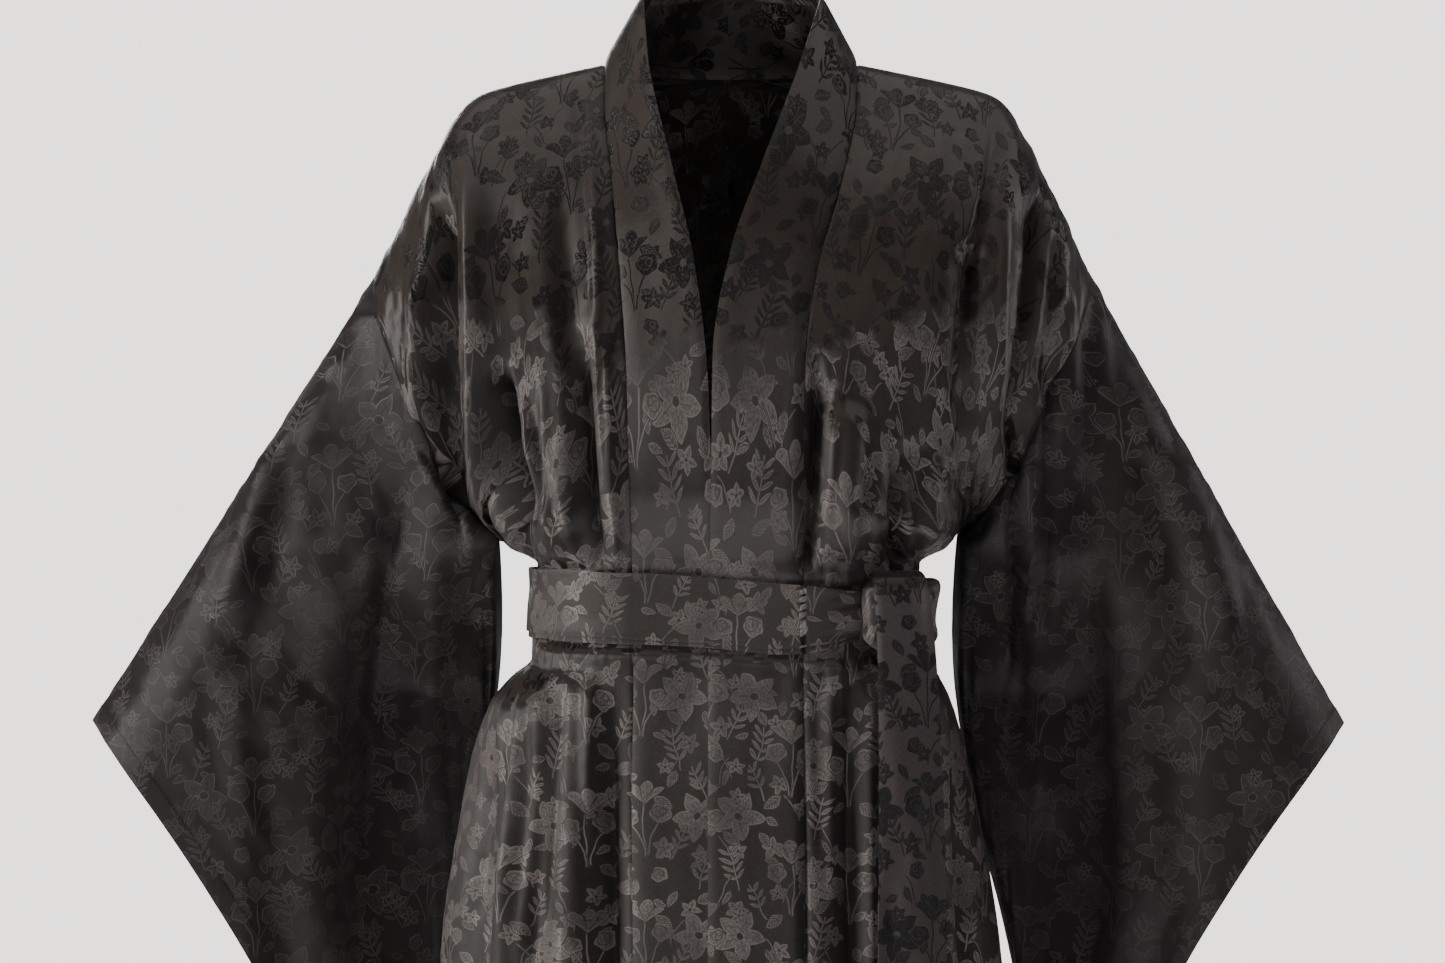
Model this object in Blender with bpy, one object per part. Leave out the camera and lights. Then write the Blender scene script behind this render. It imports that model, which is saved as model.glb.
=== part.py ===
"""Kimono robe dress in the shape it has when it is worn.

Metres, +Z up. The front faces -Y and the wearer's left is +X.
The origin is the midpoint of the shoulder line, where the wearer holds the robe up.
Tables are in millimetres, with one row for each line of the cloth or each fold.
"""

import math

import bpy
import numpy as np
from mathutils import Vector
from mathutils.bvhtree import BVHTree

MM = 0.001

# Cloth and seams, in metres
WALL = 0.0016
SEAM_GAP = 0.0003
LAYER_GAP = 0.0007

# How many seam gaps a corner keeps where three pieces meet
CORNER_GAP = 2.5

# Cut lengths in millimetres
ARMHOLE = 245
SLEEVE_LENGTH = 380
SLEEVE_DEPTH = 480

# Places in millimetres. The arms are held out a little differently on the two sides.
SEAM_TOP = {"right": (-252, 0, -143), "left": (257, 0, -139)}
UNDERARM = {"right": (-165, 0, -330), "left": (165, 0, -330)}
CUFF_TOP = {"right": (-457, 0, -465), "left": (443, 0, -467)}
CUFF_LOW = {"right": (-232, 0, -886), "left": (228, 0, -886)}
CUFF_BEND = {"right": (-317, 0, -635), "left": (297, 0, -640)}
SLEEVE_CORNER = {"right": (-196, 0, -575), "left": (191, 0, -575)}
SLEEVE_INNER_BEND = {"right": (-156, 0, -430), "left": (154, 0, -430)}
SLEEVE_BOTTOM_BEND = {"right": (-212, 0, -720), "left": (230, 0, -710)}
ARMHOLE_FRONT = 60
ARMHOLE_BACK = 62
ARMHOLE_BOW = 15
NAPE = (0, 80, 4)
NAPE_DOWN = 62

# Rows of the mesh between two places down the cloth
ROW_STEPS = [(0, 245, 12), (245, 300, 3), (300, 345, 3), (345, 412, 2), (412, 515, 4), (515, 640, 3), (640, 1240, 5)]
BODY_COLUMNS = 15
BAND_COLUMNS = 3
SLEEVE_RINGS = 16

# The side seam below the underarm, how far out it lies on each side
SIDE_SEAM = {
    "down": (245, 300, 345, 412, 432, 450, 515, 640, 880, 1240),
    "left": (165, 156, 137, 141, 152, 160, 178, 197, 208, 215),
    "right": (165, 156, 137, 141, 156, 170, 190, 207, 213, 218),
    "y": (0, 0, 0, 0, 1, 2, 4, 5, 5, 5),
    "z": (-330, -341, -352, -420, -434, -450, -520, -640, -880, -1240),
}

# The corner that each line of the cloth turns round on its way from the band to the side
FRONT_CORNER = {
    "down": (0, 55, 110, 175, 245, 300, 345, 412, 432, 450, 515, 640, 880, 1240),
    "left": (200, 205, 194, 180, 178, 162, 137, 141, 152, 161, 179, 198, 209, 216),
    "right": (189, 198, 190, 179, 178, 162, 137, 141, 156, 171, 191, 208, 214, 219),
    "y": (3, -50, -92, -120, -124, -121, -98, -98, -103, -108, -113, -117, -118, -119),
    "z": (-14, -52, -100, -180, -285, -330, -352, -420, -434, -450, -520, -640, -880, -1240),
    "fullness": (8.0, 3.6, 1.9, 1.3, 1.0, 1.0, 0.85, 0.85, 0.85, 0.85, 0.85, 0.85, 0.85, 0.85),
}
BACK_CORNER = {
    "down": (0, 55, 110, 175, 245, 300, 345, 412, 432, 450, 515, 640, 880, 1240),
    "left": (200, 206, 198, 186, 178, 162, 137, 141, 152, 161, 179, 198, 209, 216),
    "right": (189, 199, 194, 185, 178, 162, 137, 141, 156, 171, 191, 208, 214, 219),
    "y": (3, 62, 96, 110, 104, 98, 84, 86, 96, 104, 124, 126, 120, 116),
    "z": (-14, -42, -90, -165, -270, -328, -352, -420, -434, -450, -520, -640, -880, -1240),
    "fullness": (8.0, 3.6, 1.9, 1.3, 1.0, 1.0, 0.85, 0.85, 0.85, 0.85, 0.85, 0.85, 0.85, 0.85),
}
BACK_CENTRE = {
    "down": (62, 110, 175, 245, 300, 345, 412, 450, 515, 640, 880, 1240),
    "x": (0, 0, 0, 0, 0, 0, 0, 0, 0, 0, 0, 0),
    "y": (80, 92, 98, 95, 92, 84, 86, 104, 124, 127, 121, 117),
    "z": (4, -42, -115, -200, -288, -352, -420, -450, -520, -640, -880, -1240),
}

# The seam of the neck band down each front, and its free edge
BAND_SEAM = {
    "right": {
        "down": (0, 55, 110, 175, 245, 300, 345, 412, 515, 640, 1240),
        "x": (-89, -88, -82, -76, -71, -69, -67, -66, -67, -66, -66),
        "y": (8, -37, -76, -99, -110, -117, -98, -98, -112, -116, -118),
        "z": (8, -28, -80, -145, -215, -296, -352, -420, -520, -640, -1240),
    },
    "left": {
        "down": (0, 55, 110, 175, 245, 300, 345, 412, 515, 640, 1240),
        "x": (93, 91, 80, 62, 53, 52, 52, 52, 53, 54, 55),
        "y": (8, -37, -76, -99, -110, -117, -98, -98, -112, -116, -118),
        "z": (8, -28, -80, -145, -215, -296, -352, -420, -520, -640, -1240),
    },
}
BAND_EDGE = {
    "right": {
        "down": (0, 55, 110, 175, 245, 300, 345, 412, 515, 640, 1240),
        "x": (-61, -57, -40, -24, -15, -11, -6, -4, -4, -4, -4),
        "y": (4, -46, -86, -106, -115, -120, -98, -98, -114, -118, -120),
        "z": (57, 8, -68, -138, -212, -296, -352, -420, -520, -640, -1240),
    },
    "left": {
        "down": (0, 55, 110, 175, 245, 300, 345, 412, 515, 640, 1240),
        "x": (67, 50, 24, 1, -11, -12, -13, -14, -14, -14, -15),
        "y": (4, -47, -87, -106, -115, -120, -98, -98, -114, -118, -120),
        "z": (56, 2, -68, -134, -208, -296, -352, -420, -520, -640, -1240),
    },
}
BAND_EDGE_NAPE = (0, 70, 63)

# How far the upper and under band part where they lie on each other
LAYER = {"down": (0, 215, 270, 1240), "lift": (0, 0, 1, 1)}

# The sleeve's half depth from its top line (0) to its lower edge (1)
ARM_RADIUS = 44
SLEEVE_HANG = {
    "v": (0, 0.06, 0.14, 0.3, 0.5, 0.7, 0.88, 1),
    "part": (0, 0.7, 1, 0.92, 0.68, 0.5, 0.36, 0),
}
SLEEVE_LEAST = 3

# How far the sleeve's inner part lies behind the hip, between two heights and two distances from the middle
SLEEVE_DRIFT = 62
SLEEVE_DRIFT_Z = (-335, -450)
SLEEVE_DRIFT_X = (350, 215)

# Folds seen from the front: a line in x and z, how wide, how high (a trough is below nought)
FRONT_FOLDS = [
    # x0, z0, x1, z1, bow, width, height
    (-104, -20, -79, -356, 3, 7, 4),
    (-114, -70, -93, -356, 3, 12, -8),
    (-191, -40, -174, -250, 2, 16, 8),
    (-175, -215, -142, -350, 5, 12, 9),
    (-160, -215, -124, -352, 4, 14, -12),
    (-202, -95, -199, -250, 0, 14, -8),
    (-219, -140, -217, -300, 0, 12, 6),
    (-256, -165, -281, -222, 0, 10, 5),
    (-318, -262, -366, -400, 4, 14, 9),
    (-300, -272, -346, -450, 6, 14, -10),
    (-226, -255, -262, -660, 8, 15, -13),
    (-203, -300, -222, -560, 4, 13, 9),
    (-280, -330, -300, -660, 6, 19, 11),
    (-330, -450, -306, -700, 6, 15, -9),
    (-250, -640, -240, -860, 2, 15, 9),
    (-84, -418, -78, -1500, 0, 13, -11),
    (-108, -425, -114, -1500, 4, 17, 9),
    (-132, -425, -146, -1500, 4, 14, -10),
    (-152, -425, -184, -1500, 2, 12, 7),
    (-168, -428, -203, -1500, 2, 10, -10),
    (172, -120, 168, -262, 0, 15, -9),
    (192, -60, 190, -250, 0, 13, 6),
    (222, -85, 206, -290, 3, 12, -10),
    (236, -90, 234, -205, 0, 11, 5),
    (63, -222, 58, -356, 0, 10, -10),
    (86, -235, 82, -356, 2, 13, 8),
    (128, -262, 112, -356, 0, 11, -9),
    (150, -270, 130, -356, 0, 10, 7),
    (318, -262, 356, -400, -4, 14, 9),
    (292, -262, 334, -450, -6, 14, -11),
    (246, -240, 262, -660, -6, 15, -12),
    (214, -300, 228, -560, -4, 13, 9),
    (278, -340, 290, -660, -6, 18, 10),
    (322, -450, 296, -700, -6, 15, -10),
    (248, -640, 236, -860, -2, 15, 9),
    (82, -418, 94, -1500, 0, 12, -10),
    (122, -424, 126, -1500, 0, 21, -12),
    (148, -430, 160, -1500, 0, 12, 7),
    (164, -440, 184, -1500, 0, 11, -9),
]
BACK_FOLDS = [
    (-150, -200, -118, -356, 4, 13, -10),
    (-104, -230, -90, -356, 0, 13, 9),
    (-66, -250, -60, -356, 0, 12, -8),
    (-20, -260, -22, -356, 0, 14, 8),
    (24, -245, 20, -356, 0, 12, -8),
    (70, -250, 62, -356, 0, 13, 9),
    (112, -220, 96, -356, 0, 13, -9),
    (152, -200, 124, -356, -4, 12, 9),
    (-190, -70, -182, -260, 0, 16, 8),
    (-212, -110, -198, -290, 0, 14, -9),
    (192, -70, 184, -260, 0, 16, 8),
    (216, -100, 200, -290, 0, 14, -9),
    (-60, -20, -120, -60, 4, 14, 3),
    (60, -20, 118, -64, -4, 14, 3),
    (-312, -262, -360, -420, 4, 14, 9),
    (-290, -290, -330, -520, 6, 15, -11),
    (-228, -255, -258, -660, 6, 15, 10),
    (-262, -400, -286, -700, 6, 15, -10),
    (-322, -480, -296, -720, 6, 16, 9),
    (312, -262, 352, -430, -4, 14, 9),
    (284, -280, 322, -520, -6, 15, -11),
    (236, -255, 258, -660, -6, 15, 10),
    (266, -420, 280, -700, -6, 15, -10),
    (318, -480, 292, -720, -6, 16, 9),
    (-152, -425, -170, -1500, 2, 14, -11),
    (-118, -420, -130, -1500, 2, 16, 10),
    (-82, -416, -90, -1500, 0, 14, -12),
    (-44, -430, -50, -1500, 0, 18, 9),
    (-6, -418, -4, -1500, 0, 14, -12),
    (34, -424, 40, -1500, 0, 17, 9),
    (72, -416, 80, -1500, 0, 14, -11),
    (108, -420, 118, -1500, 0, 17, 10),
    (146, -425, 162, -1500, 0, 14, -11),
]

# The sash: width, distance of each turn from the cloth, and its edges across the front
BELT_SEGMENTS = 44
BELT_TOP = {"x": (-142, -75, -10, 54, 142), "z": (-354, -356, -360, -365, -368)}
BELT_LOW = {"x": (-142, -75, -10, 43, 142), "z": (-399, -402, -405, -410, -411)}
BELT_LEVELS = (335, 345, 355, 365, 375, 385, 395, 405, 415, 425)
BELT_INNER_SHIFT = -3.6
BELT_INNER_OFF = 3.7
BELT_OUTER_OFF = 5.7

# The knot and the two ends of the sash
KNOT_CENTRE = (112, -386)
KNOT_SIZE = (62, 25, 54)
KNOT_OFF = 21.5
KNOT_CLEAR = 0.9
KNOT_TURN = (0, -1.2, 0)
KNOT_SQUARENESS = 0.72
WAIST_POINTS = 240

# Where the knot's rim stands out or sinks: its angle from the right, how wide, how much
KNOT_LOBES = [(38, 18, 0.24), (12, 14, -0.13), (-38, 20, 0.10), (150, 22, 0.12), (178, 16, -0.10), (-150, 22, 0.08)]
TAIL_FRONT = {
    "out": (14, 21, 32, 39, 43, 47, 51, 54, 56, 56),
    "z": (-354, -349, -353, -368, -392, -428, -500, -600, -720, -860),
    "x": (112, 113, 115, 117, 119, 121, 123, 124, 124, 124),
    "width": (34, 36, 38, 40, 41, 43, 47, 50, 51, 51),
    "turn": (14, 14, 14, 14, 15, 16, 18, 18, 18, 18),
}
TAIL_BACK = {
    "out": (26, 28, 33, 38, 42, 45, 46),
    "z": (-419, -440, -480, -540, -620, -700, -790),
    "x": (117, 118, 120, 122, 123, 124, 124),
    "width": (28, 32, 38, 44, 46, 47, 47),
    "turn": (24, 24, 24, 24, 24, 24, 24),
}
TAIL_ROWS = 18
TAIL_COLUMNS = 4
TAIL_SWAY = 1.6
TAIL_SWAY_ACROSS = 3.2
TAIL_SWAY_DOWN = 70


def smooth_value(table_x, table_y, at, first_slope=None):
    """Read a table along a smooth curve that never overshoots its values."""
    xs = np.asarray(table_x, float)
    ys = np.asarray(table_y, float)
    steps = np.diff(xs)
    rates = np.diff(ys) / steps
    slopes = np.zeros(len(xs))
    for i in range(1, len(xs) - 1):
        if rates[i - 1] * rates[i] > 0:
            before = 2 * steps[i] + steps[i - 1]
            after = steps[i] + 2 * steps[i - 1]
            slopes[i] = (before + after) / (before / rates[i - 1] + after / rates[i])
    slopes[0] = rates[0] if first_slope is None else first_slope
    slopes[-1] = rates[-1]
    at = np.clip(np.asarray(at, float), xs[0], xs[-1])
    k = np.clip(np.searchsorted(xs, at, side="right") - 1, 0, len(xs) - 2)
    f = (at - xs[k]) / steps[k]
    return ((1 + 2 * f) * (1 - f) ** 2 * ys[k] + f * (1 - f) ** 2 * steps[k] * slopes[k]
            + f * f * (3 - 2 * f) * ys[k + 1] + f * f * (f - 1) * steps[k] * slopes[k + 1])


def smooth_step(low, high, at):
    f = np.clip((np.asarray(at, float) - low) / (high - low), 0, 1)
    return f * f * (3 - 2 * f)


def place(table, down):
    """A point of a table with x, y and z columns. The cloth lies level where it tops the shoulder."""
    starts = {"x": 0, "y": None, "z": 0} if table["down"][0] == 0 else {"x": None, "y": None, "z": None}
    return np.array([smooth_value(table["down"], table[axis], down, starts[axis]) for axis in "xyz"])


def side_place(table, sign, down):
    """A point of a table that says how far out it lies on each side."""
    columns = {"x": table[side_name(sign)], "y": table["y"], "z": table["z"], "down": table["down"]}
    return place(columns, down) * (sign, 1, 1)


def armhole(sign, face, part):
    """The armhole seam from the top (0) to the underarm (1), an ellipse bowed outwards."""
    top = np.array(SEAM_TOP[side_name(sign)], float)
    low = np.array(UNDERARM[side_name(sign)], float)
    along = 0.5 - 0.5 * math.cos(math.pi * part)
    reach = math.sin(math.pi * part)
    point = top + (low - top) * along
    outward = sign * np.array([top[2] - low[2], 0, low[0] - top[0]]) / math.dist(top, low)
    point += outward * ARMHOLE_BOW * reach
    point[1] = (-ARMHOLE_FRONT if face == "front" else ARMHOLE_BACK) * reach
    return point


def side_name(sign):
    return "left" if sign > 0 else "right"


def inner_end(sign, face, down):
    """Where a line of the cloth starts: at the band's seam, the neckline or the centre back."""
    if face == "front":
        return place(BAND_SEAM[side_name(sign)], down)
    if down >= NAPE_DOWN:
        return place(BACK_CENTRE, down)
    start = place(BAND_SEAM[side_name(sign)], 0)
    nape = np.array(NAPE, float)
    angle = math.pi / 2 * down / NAPE_DOWN
    turn = np.array([math.cos(angle), math.sin(angle), math.sin(angle)])
    return np.array([start[0] * turn[0], start[1] + (nape[1] - start[1]) * turn[1],
                     start[2] + (nape[2] - start[2]) * turn[2]])


def outer_end(sign, face, down):
    if down <= ARMHOLE:
        return armhole(sign, face, down / ARMHOLE)
    return side_place(SIDE_SEAM, sign, down)


def conic(start, corner, end, fullness, at):
    """A round turn from start to end that leaves and arrives along the lines to the corner."""
    at = np.asarray(at, float)[:, None]
    weights = ((1 - at) ** 2, 2 * at * (1 - at) * fullness, at ** 2)
    total = weights[0] + weights[1] + weights[2]
    return (weights[0] * start + weights[1] * corner + weights[2] * end) / total


def spread_evenly(points, count):
    """The same curve with its points an equal length apart."""
    lengths = np.linalg.norm(np.diff(points, axis=0), axis=1)
    run = np.concatenate([[0], np.cumsum(lengths)])
    wanted = np.linspace(0, run[-1], count + 1)
    even = np.stack([np.interp(wanted, run, points[:, axis]) for axis in range(3)], axis=1)
    even[0] = points[0]
    even[-1] = points[-1]
    return even


def body_line(sign, face, down, columns):
    """One line of the cloth from the band seam or centre back round to the side."""
    table = FRONT_CORNER if face == "front" else BACK_CORNER
    corner = side_place(table, sign, down)
    fullness = smooth_value(table["down"], table["fullness"], down)
    start = inner_end(sign, face, down)
    end = outer_end(sign, face, down)
    return spread_evenly(conic(start, corner, end, fullness, np.linspace(0, 1, 129)), columns)


def row_places():
    downs = [0.0]
    for first, last, count in ROW_STEPS:
        downs.extend(first + (last - first) * (i + 1) / count for i in range(count))
    return downs


def body_grid(sign, face):
    downs = row_places() if face == "front" else back_row_places()
    return np.array([body_line(sign, face, down, BODY_COLUMNS) for down in downs])


def back_row_places():
    """As on the front, with a row at the nape so that the neckline ends on a point."""
    downs = row_places()
    nearest = min(range(len(downs)), key=lambda i: abs(downs[i] - NAPE_DOWN))
    downs[nearest] = float(NAPE_DOWN)
    return downs


def band_grid(sign):
    """Half of the neck band: down the front edge from the hem, up to the neck, round to the nape."""
    side = side_name(sign)
    seam = []
    edge = []
    lifts = []
    for down in reversed(row_places()):
        seam.append(inner_end(sign, "front", down))
        edge.append(place(BAND_EDGE[side], down))
        lifts.append(smooth_value(LAYER["down"], LAYER["lift"], down))
    top_edge = place(BAND_EDGE[side], 0)
    nape_edge = np.array(BAND_EDGE_NAPE, float)
    for down in back_row_places()[1:]:
        if down > NAPE_DOWN:
            break
        angle = math.pi / 2 * down / NAPE_DOWN
        seam.append(inner_end(sign, "back", down))
        edge.append(np.array([top_edge[0] * math.cos(angle),
                              top_edge[1] + (nape_edge[1] - top_edge[1]) * math.sin(angle),
                              top_edge[2] + (nape_edge[2] - top_edge[2]) * math.sin(angle)]))
        lifts.append(0.0)
    across = np.linspace(0, 1, BAND_COLUMNS + 1)
    seam = np.array(seam)[:, None, :]
    edge = np.array(edge)[:, None, :]
    points = seam + (edge - seam) * across[None, :, None]
    lift = np.array(lifts)[:, None] * smooth_step(0.15, 0.8, across)[None, :]
    return points, lift, np.broadcast_to(1 - 0.8 * across, lift.shape)


def bend(start, middle, end, at):
    return (1 - at) ** 2 * start + 2 * at * (1 - at) * middle + at * at * end


def sleeve_flat_place(sign, along, depth):
    """The x and z of a place on the flat sleeve, along from the armhole and down from its top."""
    side = side_name(sign)
    top, tip, low, corner, underarm = (
        np.array(places[side], float) for places in (SEAM_TOP, CUFF_TOP, CUFF_LOW, SLEEVE_CORNER, UNDERARM))
    inner_bend, lower_bend, cuff_bend = (
        np.array(places[side], float) for places in (SLEEVE_INNER_BEND, SLEEVE_BOTTOM_BEND, CUFF_BEND))
    split = ARMHOLE / SLEEVE_DEPTH

    def inner_side(at):
        if at <= split:
            return armhole(sign, "front", at / split)
        return bend(underarm, inner_bend, corner, (at - split) / (1 - split))

    upper = top + (tip - top) * along
    lower = bend(corner, lower_bend, low, along)
    inner = inner_side(depth)
    cuff = bend(tip, cuff_bend, low, depth)
    return ((1 - depth) * upper + depth * lower + (1 - along) * inner + along * cuff
            - (1 - along) * (1 - depth) * top - along * (1 - depth) * tip
            - (1 - along) * depth * corner - along * depth * low)


def sleeve_ring_end(part):
    """Where a ring of the sleeve crosses its lower edge, as a place on the flat cloth."""
    under = SLEEVE_DEPTH - ARMHOLE
    run = part * (under + SLEEVE_LENGTH)
    if run < under:
        return 0.0, (ARMHOLE + run) / SLEEVE_DEPTH
    return (run - under) / SLEEVE_LENGTH, 1.0


def sleeve_half_depth(face, part, at):
    at_armhole = (ARMHOLE_FRONT if face == "front" else ARMHOLE_BACK) * math.sin(math.pi * at)
    hanging = ARM_RADIUS * (1 - 0.2 * part) * smooth_value(SLEEVE_HANG["v"], SLEEVE_HANG["part"], at)
    mix = float(smooth_step(0, 0.35, part))
    return at_armhole * (1 - mix) + hanging * mix


def sleeve_drift(point):
    """How far behind the side seam the sleeve hangs: its inner part lies behind the hip."""
    lowered = smooth_step(*SLEEVE_DRIFT_Z, point[2])
    inner = smooth_step(*SLEEVE_DRIFT_X, abs(point[0]))
    return SLEEVE_DRIFT * lowered * inner


def sleeve_places(face):
    downs = row_places() if face == "front" else back_row_places()
    return [down / ARMHOLE for down in downs if down <= ARMHOLE]


def sleeve_grid(sign):
    """Rings from the armhole to the cuff. Each goes down the front and up the back."""
    rings = []
    for i in range(SLEEVE_RINGS + 1):
        part = i / SLEEVE_RINGS
        end = sleeve_ring_end(part)
        halves = {}
        for face in ("front", "back"):
            points = []
            for at in sleeve_places(face):
                if i == 0:
                    points.append(armhole(sign, face, at))
                    continue
                along = part + (end[0] - part) * at
                point = sleeve_flat_place(sign, along, end[1] * at)
                half = sleeve_half_depth(face, part, at)
                point[1] = (-half if face == "front" else half) + sleeve_drift(point)
                points.append(point)
            halves[face] = points
        rings.append(halves["front"] + halves["back"][-2:0:-1])
    return np.array(rings)


def quads_of(rows, columns, closed, flip):
    """Faces of a grid of points, with their outer side up."""
    faces = []
    wide = columns if closed else columns - 1
    for i in range(rows - 1):
        for j in range(wide):
            k = (j + 1) % columns
            face = (i * columns + j, i * columns + k, (i + 1) * columns + k, (i + 1) * columns + j)
            faces.append(face[::-1] if flip else face)
    return faces


def key(point):
    return tuple(int(round(value * 200)) for value in point)


def sheet(grids):
    """Join grids of points, in millimetres, into one open sheet."""
    index = {}
    points = []
    lifts = []
    weights = []
    faces = []
    for grid, lift, weight, closed, flip in grids:
        rows, columns = grid.shape[:2]
        numbers = []
        for i in range(rows):
            for j in range(columns):
                name = key(grid[i, j])
                if name not in index:
                    index[name] = len(points)
                    points.append(grid[i, j])
                    lifts.append(lift[i, j])
                    weights.append(weight[i, j])
                numbers.append(index[name])
        for face in quads_of(rows, columns, closed, flip):
            corners = []
            for corner in face:
                if numbers[corner] not in corners:
                    corners.append(numbers[corner])
            if len(corners) > 2:
                faces.append(tuple(corners))
    return {"points": np.array(points), "lift": np.array(lifts), "weight": np.array(weights), "faces": faces}


def plain(grid):
    return np.zeros(grid.shape[:2]), np.ones(grid.shape[:2])


def face_normal(points, face):
    total = np.zeros(3)
    for a, b in zip(face, face[1:] + face[:1]):
        total += np.cross(points[a], points[b])
    return total


def shared_normals(sheets):
    """Normals at every point, the same on each piece that meets there and halfway between the pieces."""
    sums = {}
    for name, piece in sheets.items():
        group = name.split("_")[0]
        group = "body" if group in ("front", "back") else group
        piece["keys"] = [key(point) for point in piece["base"]]
        for face in piece["faces"]:
            centre = piece["points"][list(face)].mean(axis=0)
            normal = face_normal(piece["points"] - centre, face)
            for corner in face:
                shares = sums.setdefault(piece["keys"][corner], {})
                shares[group] = shares.get(group, 0) + normal
    for piece in sheets.values():
        normals = np.array([sum(share / np.linalg.norm(share) for share in sums[name].values())
                            for name in piece["keys"]])
        piece["normals"] = normals / np.linalg.norm(normals, axis=1)[:, None]


def fold_height(points, normals, folds, facing):
    """How far the folds raise or sink the cloth, in millimetres."""
    x = points[:, 0]
    z = points[:, 2]
    total = np.zeros(len(points))
    for x0, z0, x1, z1, bow, width, height in folds:
        length = math.hypot(x1 - x0, z1 - z0)
        along_x = (x1 - x0) / length
        along_z = (z1 - z0) / length
        run = ((x - x0) * along_x + (z - z0) * along_z) / length
        off = (x - x0) * along_z - (z - z0) * along_x
        inside = np.clip(run, 0, 1)
        off = off - bow * 4 * inside * (1 - inside)
        ends = smooth_step(-0.02, 0.16, run) * smooth_step(1.02, 0.8, run)
        total += height * np.exp(-(off / width) ** 2) * ends
    return total * smooth_step(0.12, 0.5, facing * normals[:, 1])


def pressed(points):
    """The sash presses the folds flat."""
    z = points[:, 2]
    near = np.abs(points[:, 0]) < 152
    under = smooth_step(-334, -352, z) * smooth_step(-430, -414, z)
    return np.where(near, 1 - 0.96 * under, 1.0)


def fold_sheets(sheets):
    shared_normals(sheets)
    for name, piece in sheets.items():
        points = piece["base"]
        normals = piece["normals"]
        height = fold_height(points, normals, FRONT_FOLDS, -1) + fold_height(points, normals, BACK_FOLDS, 1)
        height *= pressed(points) * piece["weight"]
        if name.startswith("sleeve"):
            height = within_sleeve(points, height)
        piece["points"] = points + normals * (height + piece["lift"])[:, None]
    shared_normals(sheets)


def within_sleeve(points, height):
    """Troughs are never so deep that the sleeve's front and back would meet."""
    middle = np.array([sleeve_drift(point) for point in points])
    room = np.maximum(np.abs(points[:, 1] - middle) - SLEEVE_LEAST, 0.1)
    limited = np.where(height < 0, room * np.tanh(height / room), height)
    on_seam = len(sleeve_places("front")) + len(sleeve_places("back")) - 2
    limited[:on_seam] = height[:on_seam]
    return limited


def trim_seams(sheets):
    """Draw each piece back from the ones that it is sewn to."""
    owners = {}
    for name, piece in sheets.items():
        for point_key in set(piece["keys"]):
            owners.setdefault(point_key, set()).add(name)
    for name, piece in sheets.items():
        points = piece["points"]
        edges = {}
        for face in piece["faces"]:
            for a, b in zip(face, face[1:] + face[:1]):
                edges.setdefault(frozenset((a, b)), []).append(face)
        pulls = {}
        for edge, faces in edges.items():
            if len(faces) > 1:
                continue
            a, b = tuple(edge)
            if len(owners[piece["keys"][a]] & owners[piece["keys"][b]]) < 2:
                continue
            centre = points[list(faces[0])].mean(axis=0)
            normal = face_normal(points - centre, faces[0])
            inward = np.cross(normal, points[b] - points[a])
            if inward @ (centre - points[a]) < 0:
                inward = -inward
            for corner in (a, b):
                level = inward - (inward @ piece["normals"][corner]) * piece["normals"][corner]
                pulls.setdefault(corner, []).append(level / np.linalg.norm(level))
        moved = points.copy()
        half_gap = SEAM_GAP / MM / 2
        for corner, pull in pulls.items():
            if len(pull) == 1:
                reach = pull[0]
            else:
                reach = (pull[0] + pull[1]) / max(1 + pull[0] @ pull[1], 0.3)
            meeting = len(owners[piece["keys"][corner]])
            moved[corner] += reach * half_gap * (CORNER_GAP if meeting > 2 else 1)
        piece["points"] = moved


def split_quad(points, face):
    """Two triangles on the quad's shorter diagonal, so that both sides of a wall are split alike."""
    if len(face) == 3:
        return [face]
    a, b, c, d = face
    if math.dist(points[a], points[c]) <= math.dist(points[b], points[d]):
        return [(a, b, c), (a, c, d)]
    return [(a, b, d), (b, c, d)]


def thicken(piece):
    """A closed wall round an open sheet."""
    half = WALL / MM / 2
    points = piece["points"]
    normals = piece["normals"]
    count = len(points)
    vertices = np.concatenate([points + normals * half, points - normals * half]) * MM
    faces = [triangle for face in piece["faces"] for triangle in split_quad(points, face)]
    faces += [tuple(corner + count for corner in reversed(face)) for face in faces]
    directed = set()
    for face in piece["faces"]:
        directed.update(zip(face, face[1:] + face[:1]))
    for a, b in directed:
        if (b, a) not in directed:
            faces.append((b, a, a + count, b + count))
    return vertices, faces


def new_material(name, colour, roughness):
    material = bpy.data.materials.new(name)
    material.use_nodes = True
    shader = material.node_tree.nodes["Principled BSDF"]
    shader.inputs["Base Color"].default_value = (*colour, 1)
    shader.inputs["Roughness"].default_value = roughness
    shader.inputs["Metallic"].default_value = 0.0
    material.diffuse_color = (*colour, 1)
    return material


def new_object(name, vertices, faces, collection, colour=(0.016, 0.015, 0.018), roughness=0.42):
    mesh = bpy.data.meshes.new(name)
    mesh.from_pydata([tuple(vertex) for vertex in vertices], [], faces)
    mesh.validate()
    mesh.shade_smooth()
    mesh.set_sharp_from_angle(angle=math.radians(50))
    part = bpy.data.objects.new(name, mesh)
    mesh.materials.append(new_material(name + "_satin", colour, roughness))
    collection.objects.link(part)
    return part


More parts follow.
